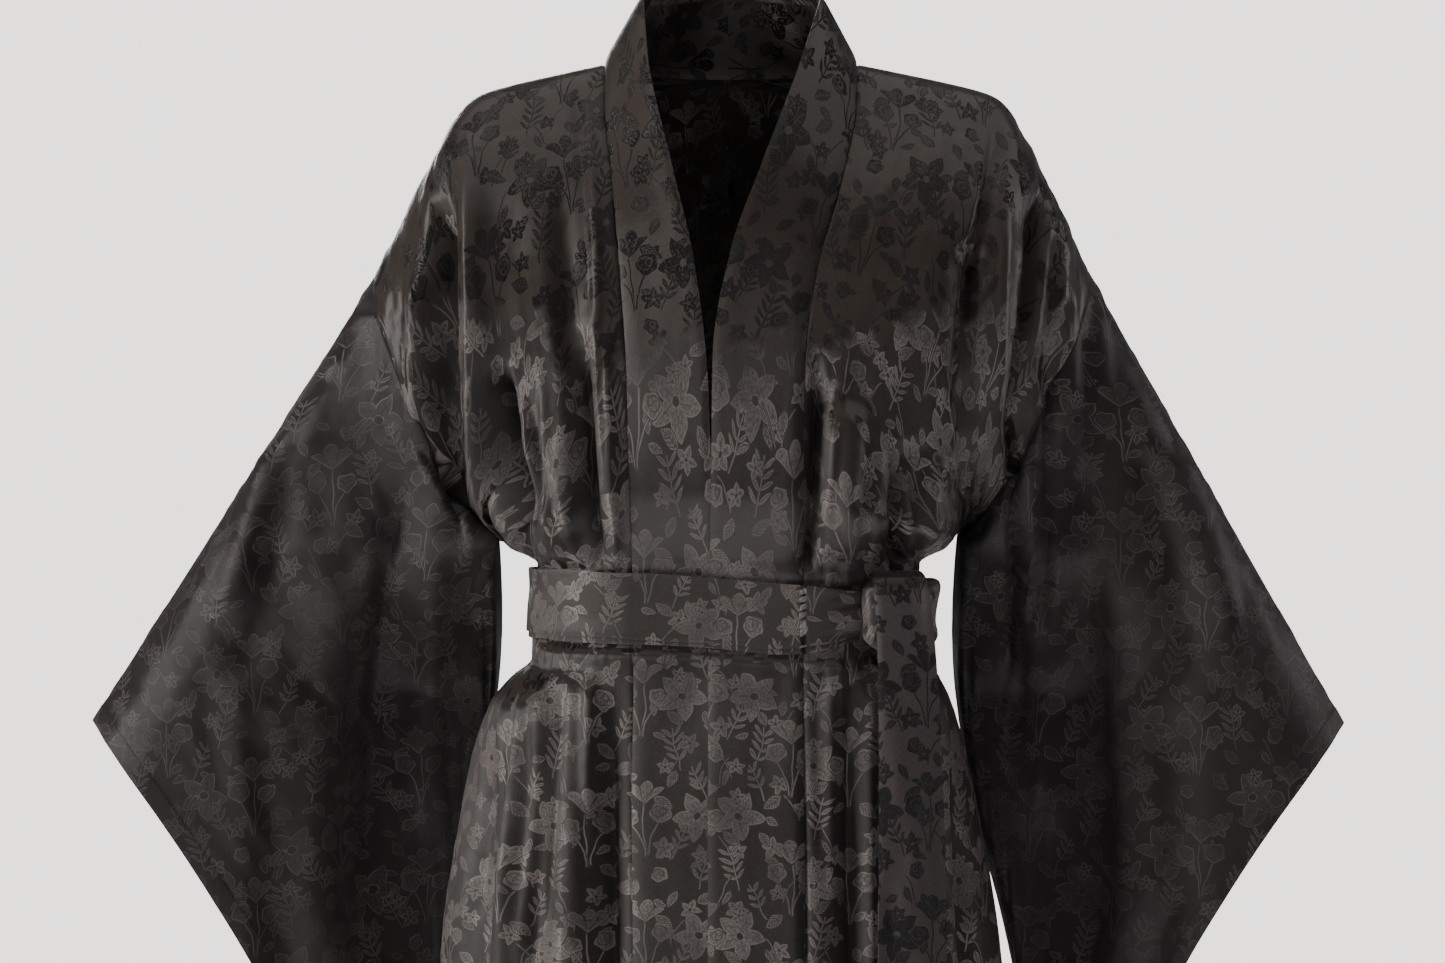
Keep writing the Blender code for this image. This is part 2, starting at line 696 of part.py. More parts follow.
def robe_sheets():
    """Every panel, sleeve and band as an open sheet in its plain form."""
    sheets = {}
    for sign in (-1, 1):
        side = side_name(sign)
        front = body_grid(sign, "front")
        sheets["front_panel_" + side] = sheet([(front, *plain(front), False, sign > 0)])
        sleeve = sleeve_grid(sign)
        sheets["sleeve_" + side] = sheet([(sleeve, *plain(sleeve), True, sign < 0)])
        band, lift, weight = band_grid(sign)
        step = (WALL + LAYER_GAP) / MM / 2
        lift = lift * (step if sign > 0 else -step)
        sheets["neck_band_" + side] = sheet([(band, lift, weight, False, sign > 0)])
    halves = []
    for sign in (-1, 1):
        back = body_grid(sign, "back")
        halves.append((back, *plain(back), False, sign < 0))
    sheets["back_panel"] = sheet(halves)
    for piece in sheets.values():
        piece["base"] = piece["points"].copy()
    return sheets


def waist_ring(down, count):
    """The cloth's way round the waist at one level, from the front to the wearer's left and on round."""
    lines = []
    for sign, face, forward in ((1, "front", True), (1, "back", False), (-1, "back", True), (-1, "front", False)):
        line = body_line(sign, face, down, 24)
        lines.append(line[:-1] if forward else line[:0:-1])
    ring = np.concatenate(lines + [lines[0][:1]])
    level = ring[:, 2].mean()
    ring[:, 2] = level
    return spread_evenly(ring, count)[:-1]


def waist_places(count):
    """A function that gives the places and outward normals on the waist for a height at each point."""
    rings = np.array([waist_ring(down, count) for down in BELT_LEVELS])

    def at_heights(heights):
        levels = -rings[:, 0, 2]
        points = np.stack([
            np.array([np.interp(-heights[i], levels, rings[:, i, axis]) for i in range(count)])
            for axis in range(2)] + [heights], axis=1)
        tangents = np.roll(points, -1, axis=0) - np.roll(points, 1, axis=0)
        normals = np.stack([tangents[:, 1], -tangents[:, 0], np.zeros(count)], axis=1)
        return points, normals / np.linalg.norm(normals, axis=1)[:, None]

    return at_heights, rings[2]


def belt_edge(table, x):
    return smooth_value(table["x"], table["z"], x)


def belt_sheet(off, shift):
    at_heights, middle = waist_places(BELT_SEGMENTS)
    rows = []
    for part in (0.0, 0.5, 1.0):
        top = belt_edge(BELT_TOP, middle[:, 0]) + shift * 0.5
        low = belt_edge(BELT_LOW, middle[:, 0]) + shift
        points, normals = at_heights(top + (low - top) * part)
        rows.append(points + normals * off)
    grid = np.array(rows)
    piece = sheet([(grid, *plain(grid), True, True)])
    piece["base"] = piece["points"].copy()
    shared_normals({"belt": piece})
    return piece


def knot_frame():
    """The place on the sash under the knot, with its outward and sideways directions."""
    at_heights = waist_places(WAIST_POINTS)[0]
    ring, normals = at_heights(np.full(WAIST_POINTS, float(KNOT_CENTRE[1])))
    front = [i for i in range(WAIST_POINTS) if ring[i, 1] < 0]
    nearest = min(front, key=lambda i: abs(ring[i, 0] - KNOT_CENTRE[0]))
    return ring[nearest], normals[nearest], ring, normals


def knot_part(collection):
    """A flattened round lump, pinched where the sash runs into it and creased towards its middle."""
    centre, outward, ring, normals = knot_frame()
    seat = BELT_OUTER_OFF + WALL / MM / 2 + KNOT_CLEAR
    facing = outward + np.array(KNOT_TURN)
    facing /= np.linalg.norm(facing)
    side = np.array([-facing[1], facing[0], 0])
    bpy.ops.mesh.primitive_uv_sphere_add(segments=20, ring_count=12, radius=1)
    knot = bpy.context.object
    knot.name = "belt_knot"
    knot.data.name = "belt_knot"
    middle = centre + facing * KNOT_OFF
    middle[2] = KNOT_CENTRE[1]
    for vertex in knot.data.vertices:
        a, b, c = vertex.co
        squared = np.sign((a, b, c)) * np.abs((a, b, c)) ** KNOT_SQUARENESS
        angle = math.degrees(math.atan2(c, a))
        crease = 1
        for lobe, width, much in KNOT_LOBES:
            apart = (angle - lobe + 180) % 360 - 180
            crease += much * math.exp(-(apart / width) ** 2) * (1 - abs(b))
        wide = squared[0] * KNOT_SIZE[0] / 2 * crease
        deep = squared[1] * KNOT_SIZE[1] / 2
        tall = squared[2] * KNOT_SIZE[2] / 2 * crease
        point = middle + side * wide - facing * deep
        point[2] += tall
        nearest = np.argmin(np.hypot(ring[:, 0] - point[0], ring[:, 1] - point[1]))
        short = seat - (point - ring[nearest])[:2] @ normals[nearest][:2]
        point += normals[nearest] * max(short, 0)
        vertex.co = point * MM
    for linked in list(knot.users_collection):
        linked.objects.unlink(knot)
    collection.objects.link(knot)
    knot.data.shade_smooth()
    knot.data.materials.append(new_material("belt_knot_satin", (0.016, 0.015, 0.018), 0.42))
    return knot


def tail_sheet(table):
    """A hanging end of the sash. Its rows follow a table from the knot down."""
    centre = knot_frame()[0]
    names = np.arange(len(table["z"]))
    rows = []
    for at in np.linspace(0, len(names) - 1, TAIL_ROWS + 1):
        value = {name: float(smooth_value(names, table[name], at)) for name in table}
        turn = math.radians(value["turn"])
        row = []
        for across in np.linspace(-1, 1, TAIL_COLUMNS + 1):
            reach = across * value["width"] / 2
            sway = TAIL_SWAY * math.sin(TAIL_SWAY_ACROSS * across + value["z"] / TAIL_SWAY_DOWN)
            row.append((value["x"] + reach * math.cos(turn),
                        centre[1] - value["out"] + reach * math.sin(turn) + sway,
                        value["z"]))
        rows.append(row)
    grid = np.array(rows)
    piece = sheet([(grid, *plain(grid), False, True)])
    piece["base"] = piece["points"].copy()
    shared_normals({"tail": piece})
    return piece


def seat(piece, rest, direction):
    """Slide a sheet along a direction until its wall lies a seam's gap from what it rests on."""
    vertices, faces = thicken(piece)
    rest_vertices = [vertex.co for vertex in rest.data.vertices]
    rest_faces = [tuple(face.vertices) for face in rest.data.polygons]
    way = Vector(direction)
    gaps = []
    for tree, starts, aim in (
            (BVHTree.FromPolygons(rest_vertices, rest_faces), vertices, way),
            (BVHTree.FromPolygons([tuple(vertex) for vertex in vertices], faces), rest_vertices, -way)):
        hits = [tree.ray_cast(Vector(start), aim) for start in starts]
        gaps += [hit[3] for hit in hits if hit[0] is not None]
    piece["points"] = piece["points"] + np.array(direction) * (min(gaps) - SEAM_GAP) / MM


def build():
    for old in list(bpy.data.objects):
        bpy.data.objects.remove(old, do_unlink=True)
    collection = bpy.data.collections.new("kimono_dress")
    bpy.context.scene.collection.children.link(collection)
    sheets = robe_sheets()
    fold_sheets(sheets)
    trim_seams(sheets)
    for name, piece in sheets.items():
        new_object(name, *thicken(piece), collection)
    new_object("belt_wrap_inner", *thicken(belt_sheet(BELT_INNER_OFF, BELT_INNER_SHIFT)), collection)
    new_object("belt_wrap_outer", *thicken(belt_sheet(BELT_OUTER_OFF, 0)), collection)
    knot = knot_part(collection)
    for name, table, direction in (("belt_tail_front", TAIL_FRONT, (0, 1, 0)),
                                   ("belt_tail_back", TAIL_BACK, (0, 0, 1))):
        tail = tail_sheet(table)
        seat(tail, knot, direction)
        new_object(name, *thicken(tail), collection)


build()
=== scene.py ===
"""Looks of the kimono robe dress: black figured satin, worn, straight from the front.

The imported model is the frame. Every panel, sleeve, band and turn of the sash is a thin shell
on the form of its solid, with finer folds. Lengths in the tables are millimetres.
The wearer's left is +X, written sign 1, and the right is sign -1.
"""

import math

import bpy
import numpy as np
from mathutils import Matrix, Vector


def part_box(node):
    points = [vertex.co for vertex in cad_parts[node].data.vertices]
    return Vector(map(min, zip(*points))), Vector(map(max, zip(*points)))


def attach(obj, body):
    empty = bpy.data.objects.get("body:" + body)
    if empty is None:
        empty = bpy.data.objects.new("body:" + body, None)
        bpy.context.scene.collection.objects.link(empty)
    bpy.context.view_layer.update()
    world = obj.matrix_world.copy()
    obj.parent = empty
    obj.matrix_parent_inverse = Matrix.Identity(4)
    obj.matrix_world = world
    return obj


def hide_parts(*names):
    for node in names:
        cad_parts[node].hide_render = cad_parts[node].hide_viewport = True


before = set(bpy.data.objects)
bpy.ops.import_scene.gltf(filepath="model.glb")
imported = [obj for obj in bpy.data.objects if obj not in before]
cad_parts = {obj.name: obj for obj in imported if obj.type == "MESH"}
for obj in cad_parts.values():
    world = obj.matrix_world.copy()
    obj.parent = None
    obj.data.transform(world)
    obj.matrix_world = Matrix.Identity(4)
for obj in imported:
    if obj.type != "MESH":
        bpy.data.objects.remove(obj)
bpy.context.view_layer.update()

MM = 0.001

# A run to a seam or a hem where there is none near
FAR = 99.0

# Thickness of each shell: single satin, the folded band and the sash
CLOTH = 0.5
BAND_CLOTH = 1.2
SASH_CLOTH = 1.1

# Cut lengths
ARMHOLE = 245
SLEEVE_LENGTH = 380
SLEEVE_DEPTH = 480
LENGTH = 1240

# The main places, as in the solids
SEAM_TOP = {"right": (-252, 0, -143), "left": (257, 0, -139)}
UNDERARM = {"right": (-165, 0, -330), "left": (165, 0, -330)}
CUFF_TOP = {"right": (-457, 0, -465), "left": (443, 0, -467)}
CUFF_LOW = {"right": (-232, 0, -886), "left": (228, 0, -886)}
CUFF_BEND = {"right": (-317, 0, -635), "left": (297, 0, -640)}
SLEEVE_CORNER = {"right": (-196, 0, -575), "left": (191, 0, -575)}
SLEEVE_INNER_BEND = {"right": (-156, 0, -430), "left": (154, 0, -430)}
SLEEVE_BOTTOM_BEND = {"right": (-212, 0, -720), "left": (230, 0, -710)}
ARMHOLE_OUT = {"front": 60, "back": 62}
ARMHOLE_BOW = 15
FACING = {"front": -1, "back": 1}
NAPE = (0, 80, 4)
NAPE_DOWN = 62

# Rows of the mesh between two places down the cloth, and how far columns lie apart
ROW_STEPS = [(0, 245, 72), (245, 300, 18), (300, 332, 10), (332, 366, 22), (366, 392, 4), (392, 424, 14),
             (424, 515, 22), (515, 640, 24), (640, 1226, 74), (1226, 1228, 2), (1228, 1240, 3)]
COLUMNS = {"front": 100, "back": 62}
EDGE_COLUMNS = (0.0, 0.9, 2.0, 3.6)
SLEEVE_RINGS = 104
SLEEVE_EDGE_RINGS = (0.0, 0.9, 2.0, 3.6)

# How far down the cloth the places of these tables lie, and how full the turn at a side is there
CORNER_DOWN = (0, 55, 110, 175, 245, 300, 345, 412, 432, 450, 515, 640, 880, 1240)
FULLNESS = (8.0, 3.6, 1.9, 1.3, 1.0, 1.0, *(0.85,) * 8)
BAND_DOWN = (0, 55, 110, 175, 245, 300, 345, 412, 515, 640, 1240)

SIDE_SEAM = {
    "down": CORNER_DOWN[4:],
    "left": (165, 156, 137, 141, 152, 160, 178, 197, 208, 215),
    "right": (165, 156, 137, 141, 156, 170, 190, 207, 213, 218),
    "y": (0, 0, 0, 0, 1, 2, 4, 5, 5, 5),
    "z": (-330, -341, -352, -420, -434, -450, -520, -640, -880, -1240),
}
FRONT_CORNER = {
    "down": CORNER_DOWN,
    "left": (200, 205, 194, 180, 178, 162, 137, 141, 152, 161, 179, 198, 209, 216),
    "right": (189, 198, 190, 179, 178, 162, 137, 141, 156, 171, 191, 208, 214, 219),
    "y": (3, -50, -92, -120, -124, -121, -98, -98, -103, -108, -113, -117, -118, -119),
    "z": (-14, -52, -100, -180, -285, -330, -352, -420, -434, -450, -520, -640, -880, -1240),
    "fullness": FULLNESS,
}
BACK_CORNER = {
    "down": CORNER_DOWN,
    "left": (200, 206, 198, 186, 178, 162, 137, 141, 152, 161, 179, 198, 209, 216),
    "right": (189, 199, 194, 185, 178, 162, 137, 141, 156, 171, 191, 208, 214, 219),
    "y": (3, 62, 96, 110, 104, 98, 84, 86, 96, 104, 124, 126, 120, 116),
    "z": (-14, -42, -90, -165, -270, -328, -352, -420, -434, -450, -520, -640, -880, -1240),
    "fullness": FULLNESS,
}
BACK_CENTRE = {
    "down": (62, 110, 175, 245, 300, 345, 412, 450, 515, 640, 880, 1240),
    "x": (0,) * 12,
    "y": (80, 92, 98, 95, 92, 84, 86, 104, 124, 127, 121, 117),
    "z": (4, -42, -115, -200, -288, -352, -420, -450, -520, -640, -880, -1240),
}
BOTH_BAND_SEAMS = {
    "down": BAND_DOWN,
    "y": (8, -37, -76, -99, -110, -117, -98, -98, -112, -116, -118),
    "z": (8, -28, -80, -145, -215, -296, -352, -420, -520, -640, -1240),
}
BAND_SEAM = {
    "right": {**BOTH_BAND_SEAMS, "x": (-89, -88, -82, -76, -71, -69, -67, -66, -67, -66, -66)},
    "left": {**BOTH_BAND_SEAMS, "x": (93, 91, 80, 62, 53, 52, 52, 52, 53, 54, 55)},
}
BAND_EDGE = {
    "right": {
        "down": BAND_DOWN,
        "x": (-61, -57, -40, -24, -15, -11, -6, -4, -4, -4, -4),
        "y": (4, -46, -86, -106, -115, -120, -98, -98, -114, -118, -120),
        "z": (57, 8, -68, -138, -212, -296, -352, -420, -520, -640, -1240),
    },
    "left": {
        "down": BAND_DOWN,
        "x": (67, 50, 24, 1, -11, -12, -13, -14, -14, -14, -15),
        "y": (4, -47, -87, -106, -115, -120, -98, -98, -114, -118, -120),
        "z": (56, 2, -68, -134, -208, -296, -352, -420, -520, -640, -1240),
    },
}
BAND_EDGE_NAPE = (0, 70, 63)
BAND_ROUND_NAPE = 1.9
BAND_MARKS = np.array([0, 1.2, 2.8, 5, 8, 12, 16, 21, 26, 31, 36, 41, 46, 50, 53.5, 56.5, 58.6, 60]) / 60
BAND_CROWN = 1.1
LAYER = {"down": (0, 215, 270, 1240), "lift": (0, 0, 1, 1)}
LAYER_STEP = 1.15

ARM_RADIUS = 44
SLEEVE_HANG = {
    "v": (0, 0.06, 0.14, 0.3, 0.5, 0.7, 0.88, 1),
    "part": (0, 0.7, 1, 0.92, 0.68, 0.5, 0.36, 0),
}
SLEEVE_LEAST = 3
SLEEVE_DRIFT = 62
SLEEVE_DRIFT_Z = (-335, -450)
SLEEVE_DRIFT_X = (350, 215)

# Where the cloth of each kind of piece starts in the figure's own flat plane
SLEEVE_FLAT = {"front": -40, "back": 960}
BAND_FLAT = 600
BELT_FLAT = 2200
KNOT_FLAT = 3000
TAIL_FLAT = 130

# How a fold and a pleat start and end: two places at the start of their line and two at its end
FOLD_ENDS = (-0.02, 0.16, 1.02, 0.8)
PLEAT_ENDS = (-0.02, 0.25, 1.02, 0.85)

# Main folds, as in the solids: a line seen from the front, its bow, width and height
FOLDS = {"front": [
    # x0, z0, x1, z1, bow, width, height
    (-104, -20, -79, -356, 3, 7, 4),
    (-114, -70, -93, -356, 3, 12, -8),
    (-191, -40, -174, -250, 2, 16, 8),
    (-175, -215, -142, -350, 5, 12, 9),
    (-160, -215, -124, -352, 4, 14, -12),
    (-202, -95, -199, -250, 0, 14, -8),
    (-219, -140, -217, -300, 0, 12, 6),
    (-256, -165, -281, -222, 0, 10, 5),
    (-318, -262, -366, -400, 4, 14, 9),
    (-300, -272, -346, -450, 6, 14, -10),
    (-226, -255, -262, -660, 8, 15, -13),
    (-203, -300, -222, -560, 4, 13, 9),
    (-280, -330, -300, -660, 6, 19, 11),
    (-330, -450, -306, -700, 6, 15, -9),
    (-250, -640, -240, -860, 2, 15, 9),
    (-84, -418, -78, -1500, 0, 13, -11),
    (-108, -425, -114, -1500, 4, 17, 9),
    (-132, -425, -146, -1500, 4, 14, -10),
    (-152, -425, -184, -1500, 2, 12, 7),
    (-168, -428, -203, -1500, 2, 10, -10),
    (172, -120, 168, -262, 0, 15, -9),
    (192, -60, 190, -250, 0, 13, 6),
    (222, -85, 206, -290, 3, 12, -10),
    (236, -90, 234, -205, 0, 11, 5),
    (63, -222, 58, -356, 0, 10, -10),
    (86, -235, 82, -356, 2, 13, 8),
    (128, -262, 112, -356, 0, 11, -9),
    (150, -270, 130, -356, 0, 10, 7),
    (318, -262, 356, -400, -4, 14, 9),
    (292, -262, 334, -450, -6, 14, -11),
    (246, -240, 262, -660, -6, 15, -12),
    (214, -300, 228, -560, -4, 13, 9),
    (278, -340, 290, -660, -6, 18, 10),
    (322, -450, 296, -700, -6, 15, -10),
    (248, -640, 236, -860, -2, 15, 9),
    (82, -418, 94, -1500, 0, 12, -10),
    (122, -424, 126, -1500, 0, 21, -12),
    (148, -430, 160, -1500, 0, 12, 7),
    (164, -440, 184, -1500, 0, 11, -9),
], "back": [
    (-150, -200, -118, -356, 4, 13, -10),
    (-104, -230, -90, -356, 0, 13, 9),
    (-66, -250, -60, -356, 0, 12, -8),
    (-20, -260, -22, -356, 0, 14, 8),
    (24, -245, 20, -356, 0, 12, -8),
    (70, -250, 62, -356, 0, 13, 9),
    (112, -220, 96, -356, 0, 13, -9),
    (152, -200, 124, -356, -4, 12, 9),
    (-190, -70, -182, -260, 0, 16, 8),
    (-212, -110, -198, -290, 0, 14, -9),
    (192, -70, 184, -260, 0, 16, 8),
    (216, -100, 200, -290, 0, 14, -9),
    (-60, -20, -120, -60, 4, 14, 3),
    (60, -20, 118, -64, -4, 14, 3),
    (-312, -262, -360, -420, 4, 14, 9),
    (-290, -290, -330, -520, 6, 15, -11),
    (-228, -255, -258, -660, 6, 15, 10),
    (-262, -400, -286, -700, 6, 15, -10),
    (-322, -480, -296, -720, 6, 16, 9),
    (312, -262, 352, -430, -4, 14, 9),
    (284, -280, 322, -520, -6, 15, -11),
    (236, -255, 258, -660, -6, 15, 10),
    (266, -420, 280, -700, -6, 15, -10),
    (318, -480, 292, -720, -6, 16, 9),
    (-152, -425, -170, -1500, 2, 14, -11),
    (-118, -420, -130, -1500, 2, 16, 10),
    (-82, -416, -90, -1500, 0, 14, -12),
    (-44, -430, -50, -1500, 0, 18, 9),
    (-6, -418, -4, -1500, 0, 14, -12),
    (34, -424, 40, -1500, 0, 17, 9),
    (72, -416, 80, -1500, 0, 14, -11),
    (108, -420, 118, -1500, 0, 17, 10),
    (146, -425, 162, -1500, 0, 14, -11),
]}

# Finer creases that only the looks have
FINE_FOLDS = {"front": [
    (-95, -190, -77, -356, 2, 3.2, 2.6),
    (-100, -200, -88, -350, 2, 4.5, -3.5),
    (-186, -190, -165, -340, 3, 5, 3.0),
    (-176, -230, -150, -345, 2, 4, -3.0),
    (-196, -150, -188, -260, 1, 4, 2.4),
    (-148, -250, -112, -352, 3, 5, 3.2),
    (-134, -270, -104, -352, 2, 4, -2.6),
    (-121, -290, -100, -352, 1, 4, 2.2),
    (-210, -150, -200, -300, 1, 4, -2.6),
    (-228, -135, -226, -260, 1, 4, -2.4),
    (-240, -150, -246, -230, 1, 4, 2.0),
    (-262, -180, -283, -230, 1, 4, -2.2),
    (-270, -170, -296, -226, 1, 4, 2.0),
    (-212, -270, -194, -325, 2, 5, 3.0),
    (-200, -275, -182, -328, 2, 4, -2.4),
    (-336, -290, -372, -400, 3, 5, -2.6),
    (-360, -330, -398, -430, 3, 5, 2.2),
    (-244, -290, -262, -440, 3, 5, 3.0),
    (-232, -330, -244, -500, 3, 5, 3.2),
    (-214, -340, -228, -480, 3, 4.5, -3.0),
    (-262, -380, -282, -640, 5, 6, -3.2),
    (-296, -400, -312, -640, 5, 6, -3.0),
    (-350, -420, -332, -560, 5, 7, 3.0),
    (-372, -430, -360, -520, 3, 6, -2.4),
    (-270, -600, -262, -820, 2, 6, -2.6),
    (-74, -425, -72, -640, 1, 4, -2.4),
    (-92, -425, -94, -560, 1, 4.5, 2.6),
    (-120, -425, -124, -600, 1, 5, -2.4),
    (-138, -425, -158, -620, 2, 4.5, 2.6),
    (-158, -430, -190, -660, 2, 4, -2.4),
    (56, -230, 54, -352, 0, 3.6, -3.4),
    (72, -250, 69, -354, 1, 4, 3.0),
    (97, -255, 93, -354, 1, 4.5, -3.0),
    (107, -270, 101, -354, 1, 4, 2.6),
    (120, -285, 110, -354, 1, 4, 2.4),
    (140, -275, 122, -352, 1, 4, -2.4),
    (158, -210, 156, -300, 1, 5, 2.6),
    (180, -110, 178, -250, 1, 5, 2.4),
    (204, -85, 197, -250, 1, 5, -2.6),
    (214, -110, 212, -262, 1, 4, 2.6),
    (229, -110, 224, -240, 1, 4, -2.4),
    (244, -150, 246, -240, 1, 4, 2.4),
    (340, -290, 372, -400, -3, 5, -2.6),
    (362, -340, 392, -430, -3, 5, 2.2),
    (228, -290, 240, -460, -3, 5, 3.0),
    (236, -340, 246, -520, -3, 5, -3.2),
    (204, -320, 214, -480, -3, 4.5, -2.8),
    (262, -360, 276, -640, -4, 6, -3.2),
    (294, -380, 306, -620, -4, 6, 3.0),
    (336, -420, 322, -560, -4, 7, 3.0),
    (262, -600, 256, -820, -2, 6, -2.6),
    (60, -425, 62, -560, 0, 4, -2.6),
    (70, -425, 74, -600, 0, 4, 2.4),
    (98, -425, 104, -700, 0, 5, 2.8),
    (110, -425, 118, -640, 0, 4, -2.4),
    (138, -430, 146, -640, 0, 4, -2.4),
    (156, -440, 172, -700, 0, 4, 2.4),
    (172, -450, 196, -720, 0, 4, -2.4),
], "back": [
    (-134, -250, -104, -352, 3, 5, 3.2),
    (-84, -270, -76, -352, 1, 4, -2.8),
    (-40, -280, -40, -352, 1, 4, 2.4),
    (4, -270, 2, -352, 1, 4, -2.6),
    (46, -280, 42, -352, 1, 4, 2.4),
    (92, -270, 80, -352, 1, 4, -2.8),
    (132, -250, 110, -352, -2, 5, 3.0),
    (-170, -150, -160, -280, 2, 5, -2.4),
    (170, -150, 160, -280, -2, 5, -2.4),
    (-336, -300, -372, -420, 3, 5, -2.6),
    (-250, -300, -270, -480, 3, 5, 3.0),
    (-300, -420, -310, -640, 4, 6, 3.0),
    (336, -300, 372, -420, -3, 5, -2.6),
    (250, -300, 266, -480, -3, 5, 3.0),
    (300, -420, 304, -640, -4, 6, 3.0),
    (-136, -425, -150, -640, 1, 5, 2.6),
    (-100, -425, -108, -600, 1, 5, -2.6),
    (-62, -425, -68, -660, 1, 5, 2.6),
    (-26, -425, -28, -600, 1, 5, -2.6),
    (14, -425, 18, -640, 1, 5, 2.6),
    (54, -425, 60, -600, 1, 5, -2.6),
    (90, -425, 98, -660, 1, 5, 2.6),
    (128, -425, 138, -620, 1, 5, -2.6),
]}

# Crisp pleats: how far they reach on each side of their line, seen from the front, and their height
PLEATS = [
    # x0, z0, x1, z1, bow, left, right, height
    (-108, -6, -96, -185, -2, 6, 2.6, -6),
    (-97, -180, -88, -356, 2, 5.5, 3, -10),
    (-85, -180, -76, -356, 2, 2.6, 5, 4),
    (-158, -205, -136, -356, 3.5, 9, 4, -22),
    (-151, -205, -129, -356, 3, 2.8, 6, 6),
    (-171, -222, -141, -354, 10, 6, 5, 8),
    (-138, -225, -132, -350, 0, 5, 3, -6),
    (-130, -215, -125, -352, 0, 2.6, 6, 4),
    (-116, -185, -110, -352, 0, 10, 8, 5),
    (-178, -318, -156, -352, 0, 6, 7, 9),
    (-197, -60, -190, -345, 0, 15, 4.5, -19),
    (-185, -45, -174, -345, -3, 3.4, 12, 8),
    (-207, -55, -222, -262, 0, 9, 10, 6),
    (-221, -262, -190, -320, 0, 3, 5, -6),
    (-226, -262, -256, -600, 6, 7, 3, -9),
    (-300, -225, -352, -400, 4, 10, 5, 7),
    (-312, -262, -337, -360, 3, 4, 9, -8),
    (-286, -262, -290, -340, 0, 10, 10, -5),
    (62, -205, 54, -356, 0, 3.4, 4.5, -12),
    (75, -220, 61, -356, 0, 2.8, 6, 6),
    (118, -275, 113, -356, 0, 3, 4, -8),
    (126, -275, 121, -356, 0, 4, 3.4, 5),
    (145, -318, 130, -356, 0, 3, 4, -7),
    (195, -30, 159, -222, 3, 4, 11, -9),
    (158, -205, 172, -340, 0, 4, 10, -9),
    (222, -75, 201, -250, -1, 3, 3.4, -9),
    (201, -225, 204, -440, 0, 4, 3.4, -13),
    (230, -80, 214, -205, 0, 3.4, 5, 5),
    (233, -165, 225, -410, 0, 7, 5, -13),
    (214, -245, 215, -410, 0, 5, 5, 6),
    (256, -185, 259, -270, 0, 6, 8, -6),
    (263, -160, 268, -235, 0, 5, 8, 5),
    (-80, -424, -74, -900, 0, 8, 2.6, -8),
    (-96, -424, -98, -520, 0, 4, 5, 5),
    (-112, -424, -128, -620, 0, 5, 3, -6),
    (-126, -424, -148, -640, 0, 4, 5, 5),
    (-141, -424, -172, -620, 2, 5, 3, -6),
    (152, -424, 176, -700, 0, 3, 5, -6),
    (-14, -175, -14, -358, 0, 2.4, 1.6, -2.6),
    (-14, -412, -13, -1100, 0, 2.4, 1.6, -3.2),
    (52, -420, 53, -1100, 0, 2.2, 3.2, -4),
    (82, -424, 92, -900, 0, 3, 7, -7),
]

# The sleeves hang calmer than the body
SLEEVE_CALM = 0.66

# How far the robe stands off above and below the sash, where it turns in sharply
WAIST_RADIUS = 140
BLOUSE = {"middle": 1.5, "side": 15}
BLOUSE_X = (188, 160)
BLOUSE_Z = (-298, -338)
PUFF = {"middle": 5, "side": 10}
SIDE = (90, 145)
PUFF_END_Z = (-525, -436)
TURN = 9

# How much the sash presses the folds flat, and how far to each side
PRESSED = 0.96
PRESSED_X = 152

# Gathers above and below the sash: their reach, how much and over what width it varies, and a seed
GATHERS = {"above": (26, 20, 17, 3), "below": (40, 26, 15, 4)}

# Hems: how wide the turned edge is, how much it stands out, and its stitches
HEM_WIDTH = 13
HEM_STEP = 0.35
SEWN_ROWS = {"sleeve_left": -4, "sleeve_right": -4, "front_left": -5, "front_right": -5, "back": -5}
STITCH_LENGTH = 2.3
STITCH_SPACING = 3.4
STITCH_RADIUS = 0.28
STITCH_SIDES = 5
SEAM_GROOVE = (0.9, 1.3)

# The sash
BELT_SEGMENTS = 260
BELT_ROWS = 23
BELT_WIDTH = 48
BELT_TOP = {"x": (-142, -75, -10, 54, 142), "z": (-354, -356, -360, -365, -368)}
BELT_LOW = {"x": (-142, -75, -10, 43, 142), "z": (-399, -402, -405, -410, -411)}
BELT_LEVELS = (335, 345, 355, 365, 375, 385, 395, 405, 415, 425)
BELT_INNER_SHIFT = -4.2
BELT_INNER_OFF = 3.8
BELT_OUTER_OFF = 5.7
BELT_PINCH = (4, 15)
BELT_CREASES = 33
BELT_DRAWN = 1.9
BELT_CLOSING = 3.5
KNOT_CENTRE = (112, -386)
WAIST_POINTS = 240
TAIL_FRONT = {
    "out": (14, 21, 32, 39, 43, 47, 51, 54, 56, 56),
    "z": (-360, -357, -360, -371, -393, -428, -500, -600, -720, -860),
    "x": (112, 113, 115, 117, 119, 121, 123, 124, 124, 124),
    "width": (34, 36, 38, 40, 41, 43, 47, 50, 51, 51),
    "turn": (14, 14, 14, 14, 15, 16, 18, 18, 18, 18),
}
TAIL_BACK = {
    "out": (26, 28, 33, 38, 42, 45, 46),
    "z": (-419, -440, -480, -540, -620, -700, -790),
    "x": (117, 118, 120, 122, 123, 124, 124),
    "width": (28, 32, 38, 44, 46, 47, 47),
    "turn": (24, 24, 24, 24, 24, 24, 24),
}
TAIL_ASIDE = 3.5
TAIL_ROWS = 120
TAIL_COLUMNS = 20
TAIL_SWAY = 1.6
TAIL_SWAY_ACROSS = 3.2
TAIL_SWAY_DOWN = 70
TAIL_FOLD = 0.9


